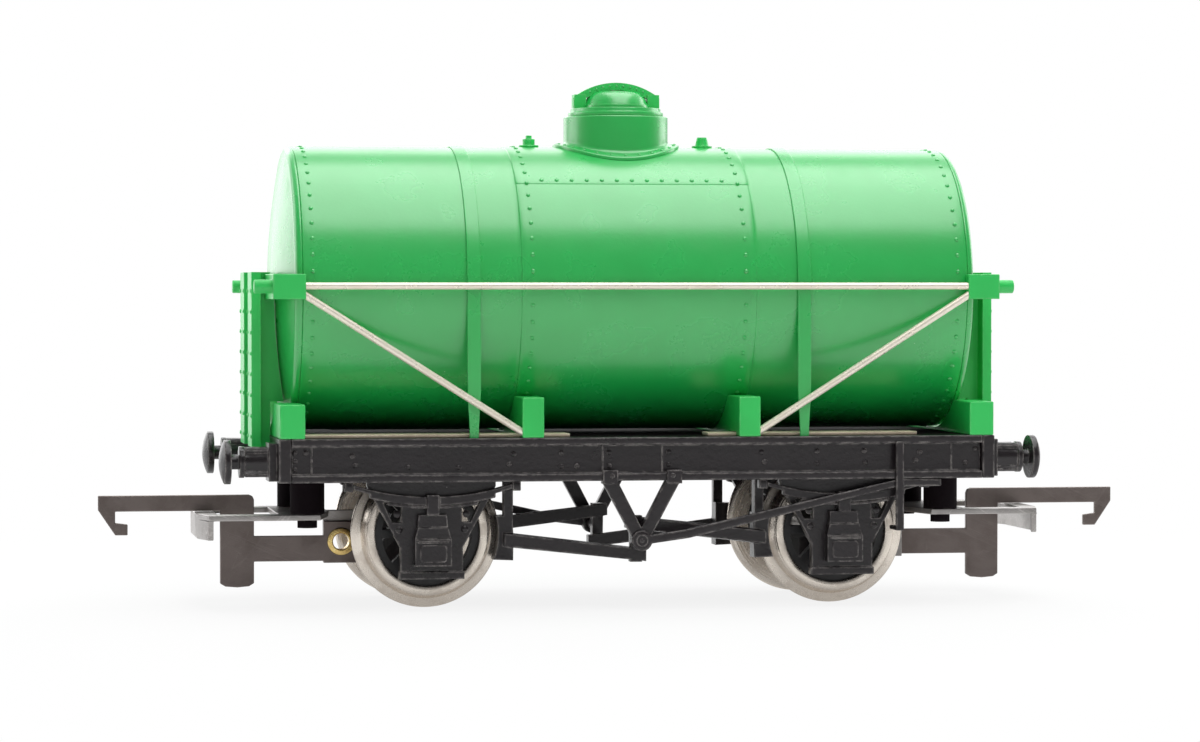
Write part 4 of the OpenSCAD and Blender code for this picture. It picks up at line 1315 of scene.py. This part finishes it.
@dataclass
class Couplings(SubAssembly):
    """The stamped plate, the lifting hook and the brass eyelet at each end."""

    finishes: Finishes
    bore_inset: float = 0.55
    tube_inset: float = 0.3
    roll: float = 0.1

    def build(self) -> None:
        """Dresses plates and hooks, and makes the rolled eyelets."""
        for end in End:
            self.keep(self.finishes.plate, f"coupling_plate_{end.label}", edge=0.09)
            self.keep(self.finishes.hook, f"coupling_hook_{end.label}", edge=0.08)
            name = f"coupling_eyelet_{end.label}"
            self.add(
                f"rolled_eyelet_{end.label}", self.eyelet(name), self.finishes.brass, stands_for=[name]
            )

    def eyelet(self, name: str) -> Shape:
        """A tube turned about the pivot, with a rolled rim at both ends: each rim is half a circle.

        Args:
            name: the eyelet's node, for its place and size.
        Returns:
            The eyelet.
        """
        low, high = node_box(name)
        rim = float(high[0] - low[0]) / 2
        half = float(high[1] - low[1]) / 2
        bore, tube, roll = rim - self.bore_inset, rim - self.tube_inset, self.roll
        turn = np.radians(np.linspace(-90.0, 90.0, 7))
        outer = np.stack([rim - roll + roll * np.cos(turn), half - roll + roll * np.sin(turn)], -1)
        inner = [(bore + roll, half), (bore, half - roll), (bore, 0.0)]
        right = [(tube, 0.0), (tube, half - 2.0 * roll), *outer.tolist(), *inner]
        left = [(r, -h) for r, h in right[::-1]]
        x, y, z = ((low + high) / 2).tolist()
        return turned([*right, *left[1:]], axis="Y", sides=48).moved(x, y, z)


@dataclass
class Buffers(SubAssembly):
    """The two moulded buffers at each end."""

    finishes: Finishes

    def build(self) -> None:
        """Dresses the buffers with softened edges."""
        self.keep(self.finishes.black, "buffers_left", "buffers_right", edge=0.1)


# ---- Studio ----


@dataclass(frozen=True)
class Lamp:
    """A rectangular lamp: its place and size in metres, its turn in degrees, how bright its face
    is, where 1 is white, and whether it shows in reflections. Unturned it faces straight down."""

    name: str
    place: tuple[float, float, float]
    size: tuple[float, float]
    tilt: float
    heading: float
    brightness: float
    mirrored: bool = True

    def build(self) -> None:
        """Adds the lamp to the scene."""
        data = bpy.data.lights.new(self.name, "AREA")
        data.shape = "RECTANGLE"
        data.size, data.size_y = self.size
        data.energy = self.brightness * math.pi * self.size[0] * self.size[1]
        lamp = link(self.name, data)
        lamp.visible_glossy = self.mirrored
        lamp.location = self.place
        lamp.rotation_euler = (math.radians(self.tilt), 0.0, math.radians(self.heading))


@dataclass
class Studio:
    """The floor, the white surroundings, the lamps and the camera."""

    floor_half: float = 4.0
    floor_white: float = 0.72
    floor_glow: float = 0.86
    floor_mirrored: float = 0.45
    front_dim: float = 0.2
    back_dim: float = 0.72
    lens: float = 119.27
    camera_at: tuple[float, float, float] = (-0.06738, -0.38819, 0.03082)
    camera_turn: tuple[float, float, float] = (88.799, 0.0, -9.624)
    lamps: tuple[Lamp, ...] = (
        Lamp("overhead", (0.07, -0.06, 0.41), (0.34, 0.56), 0.0, 0.0, 2.95),
        Lamp("front_soft", (0.0, -0.4, 0.34), (0.5, 0.25), 51.0, 0.0, 0.95, False),
        Lamp("left_fill", (-0.42, 0.24, 0.18), (0.3, 0.3), 72.0, -120.0, 1.8),
        Lamp("back_left", (-0.16, 0.42, 0.12), (0.2, 0.3), 78.0, 197.0, 1.6),
        Lamp("back_top", (0.1, 0.55, 0.3), (0.6, 0.3), 65.0, 180.0, 1.8),
        Lamp("right_fill", (0.46, 0.26, 0.2), (0.3, 0.3), 72.0, 120.0, 2.6),
    )

    def build(self) -> None:
        """Sets everything up."""
        self.make_floor()
        self.make_world()
        for lamp in self.lamps:
            lamp.build()
        self.make_camera()
        LOG.info("made the studio: floor, surroundings, %d lamps, camera", len(self.lamps))

    def make_floor(self) -> None:
        """A wide pale floor. Part of what the camera and reflections see of it is plain white, and
        the rest is lit, so the object's shadow stays; away from the object it is all plain white."""
        half = self.floor_half
        mesh = bpy.data.meshes.new("floor_sheet")
        corners = [(-half, -half, 0), (half, -half, 0), (half, half, 0), (-half, half, 0)]
        mesh.from_pydata(corners, [], [(0, 1, 2, 3)])
        material = bpy.data.materials.new("floor_paper")
        recipe = Recipe(material)
        grain = recipe.noise(recipe.place(), size=1.5, detail=4.0, rough=0.6)
        white = (self.floor_white,) * 3
        paper = recipe.blend(grain * 0.3, white, tuple(0.97 * c for c in white))
        lit = recipe.node("ShaderNodeBsdfDiffuse", {}, {"Color": paper})
        glow = recipe.node("ShaderNodeEmission", {}, {"Color": (1.0, 1.0, 1.0, 1.0), "Strength": 1.0})
        away = recipe.node("ShaderNodeVectorMath", {"operation": "LENGTH"}, {0: recipe.place()})
        far = Level(recipe, away.outputs["Value"]).step(0.06, 0.13)
        rays = recipe.node("ShaderNodeLightPath").outputs
        seen = Level(recipe, rays["Is Camera Ray"]) + Level(recipe, rays["Is Transmission Ray"])
        seen = (seen + Level(recipe, rays["Is Glossy Ray"]) * self.floor_mirrored).clamped()
        seen = seen * (far * (1.0 - self.floor_glow) + self.floor_glow)
        mixed = recipe.node("ShaderNodeMixShader", {}, {0: seen, 1: lit.outputs[0], 2: glow.outputs[0]})
        recipe.node("ShaderNodeOutputMaterial", {}, {"Surface": mixed.outputs[0]})
        mesh.materials.append(material)
        link("floor_sheet", mesh)

    def make_world(self) -> None:
        """White all round for the camera; the object is lit by it, and reflects it, as a pale room
        that is dim towards the front."""
        world = bpy.data.worlds.new("studio")
        bpy.context.scene.world = world
        recipe = Recipe(world)
        rays = recipe.node("ShaderNodeLightPath").outputs
        direct = (Level(recipe, rays["Is Camera Ray"]) + Level(recipe, rays["Is Transmission Ray"])).clamped()
        way = recipe.node("ShaderNodeTexCoord").outputs["Generated"]
        towards = recipe.node("ShaderNodeSeparateXYZ", {}, {0: way})
        back = Level(recipe, towards.outputs[1]).step(-0.45, 0.4)
        around = back * (self.back_dim - self.front_dim) + self.front_dim
        strength = direct + (1.0 - direct) * around
        light = recipe.node("ShaderNodeBackground", {}, {"Color": (1.0, 1.0, 1.0, 1.0), "Strength": strength})
        recipe.node("ShaderNodeOutputWorld", {}, {"Surface": light.outputs[0]})

    def make_camera(self) -> None:
        """A long lens a little above the frame's height, seen slightly from the left."""
        data = bpy.data.cameras.new("camera")
        data.lens = self.lens
        data.sensor_width = 36.0
        data.clip_start, data.clip_end = 0.01, 20.0
        camera = link("camera", data)
        camera.location = self.camera_at
        camera.rotation_euler = tuple(math.radians(a) for a in self.camera_turn)
        bpy.context.scene.camera = camera


def main() -> None:
    """Builds every sub-assembly in order."""
    logging.basicConfig(level=logging.INFO, format="%(message)s")
    bpy.context.scene.view_settings.view_transform = "Standard"
    Studio().build()
    finishes = Finishes()
    parts = (
        TankShell, TankStraps, DomeAndFittings, Seating, Frame,
        RunningGear, BrakeGear, Wheelsets, Couplings, Buffers,
    )
    for part in parts:
        LOG.info("building %s", part.__name__)
        part(finishes).build()


if __name__ == "__main__":
    main()
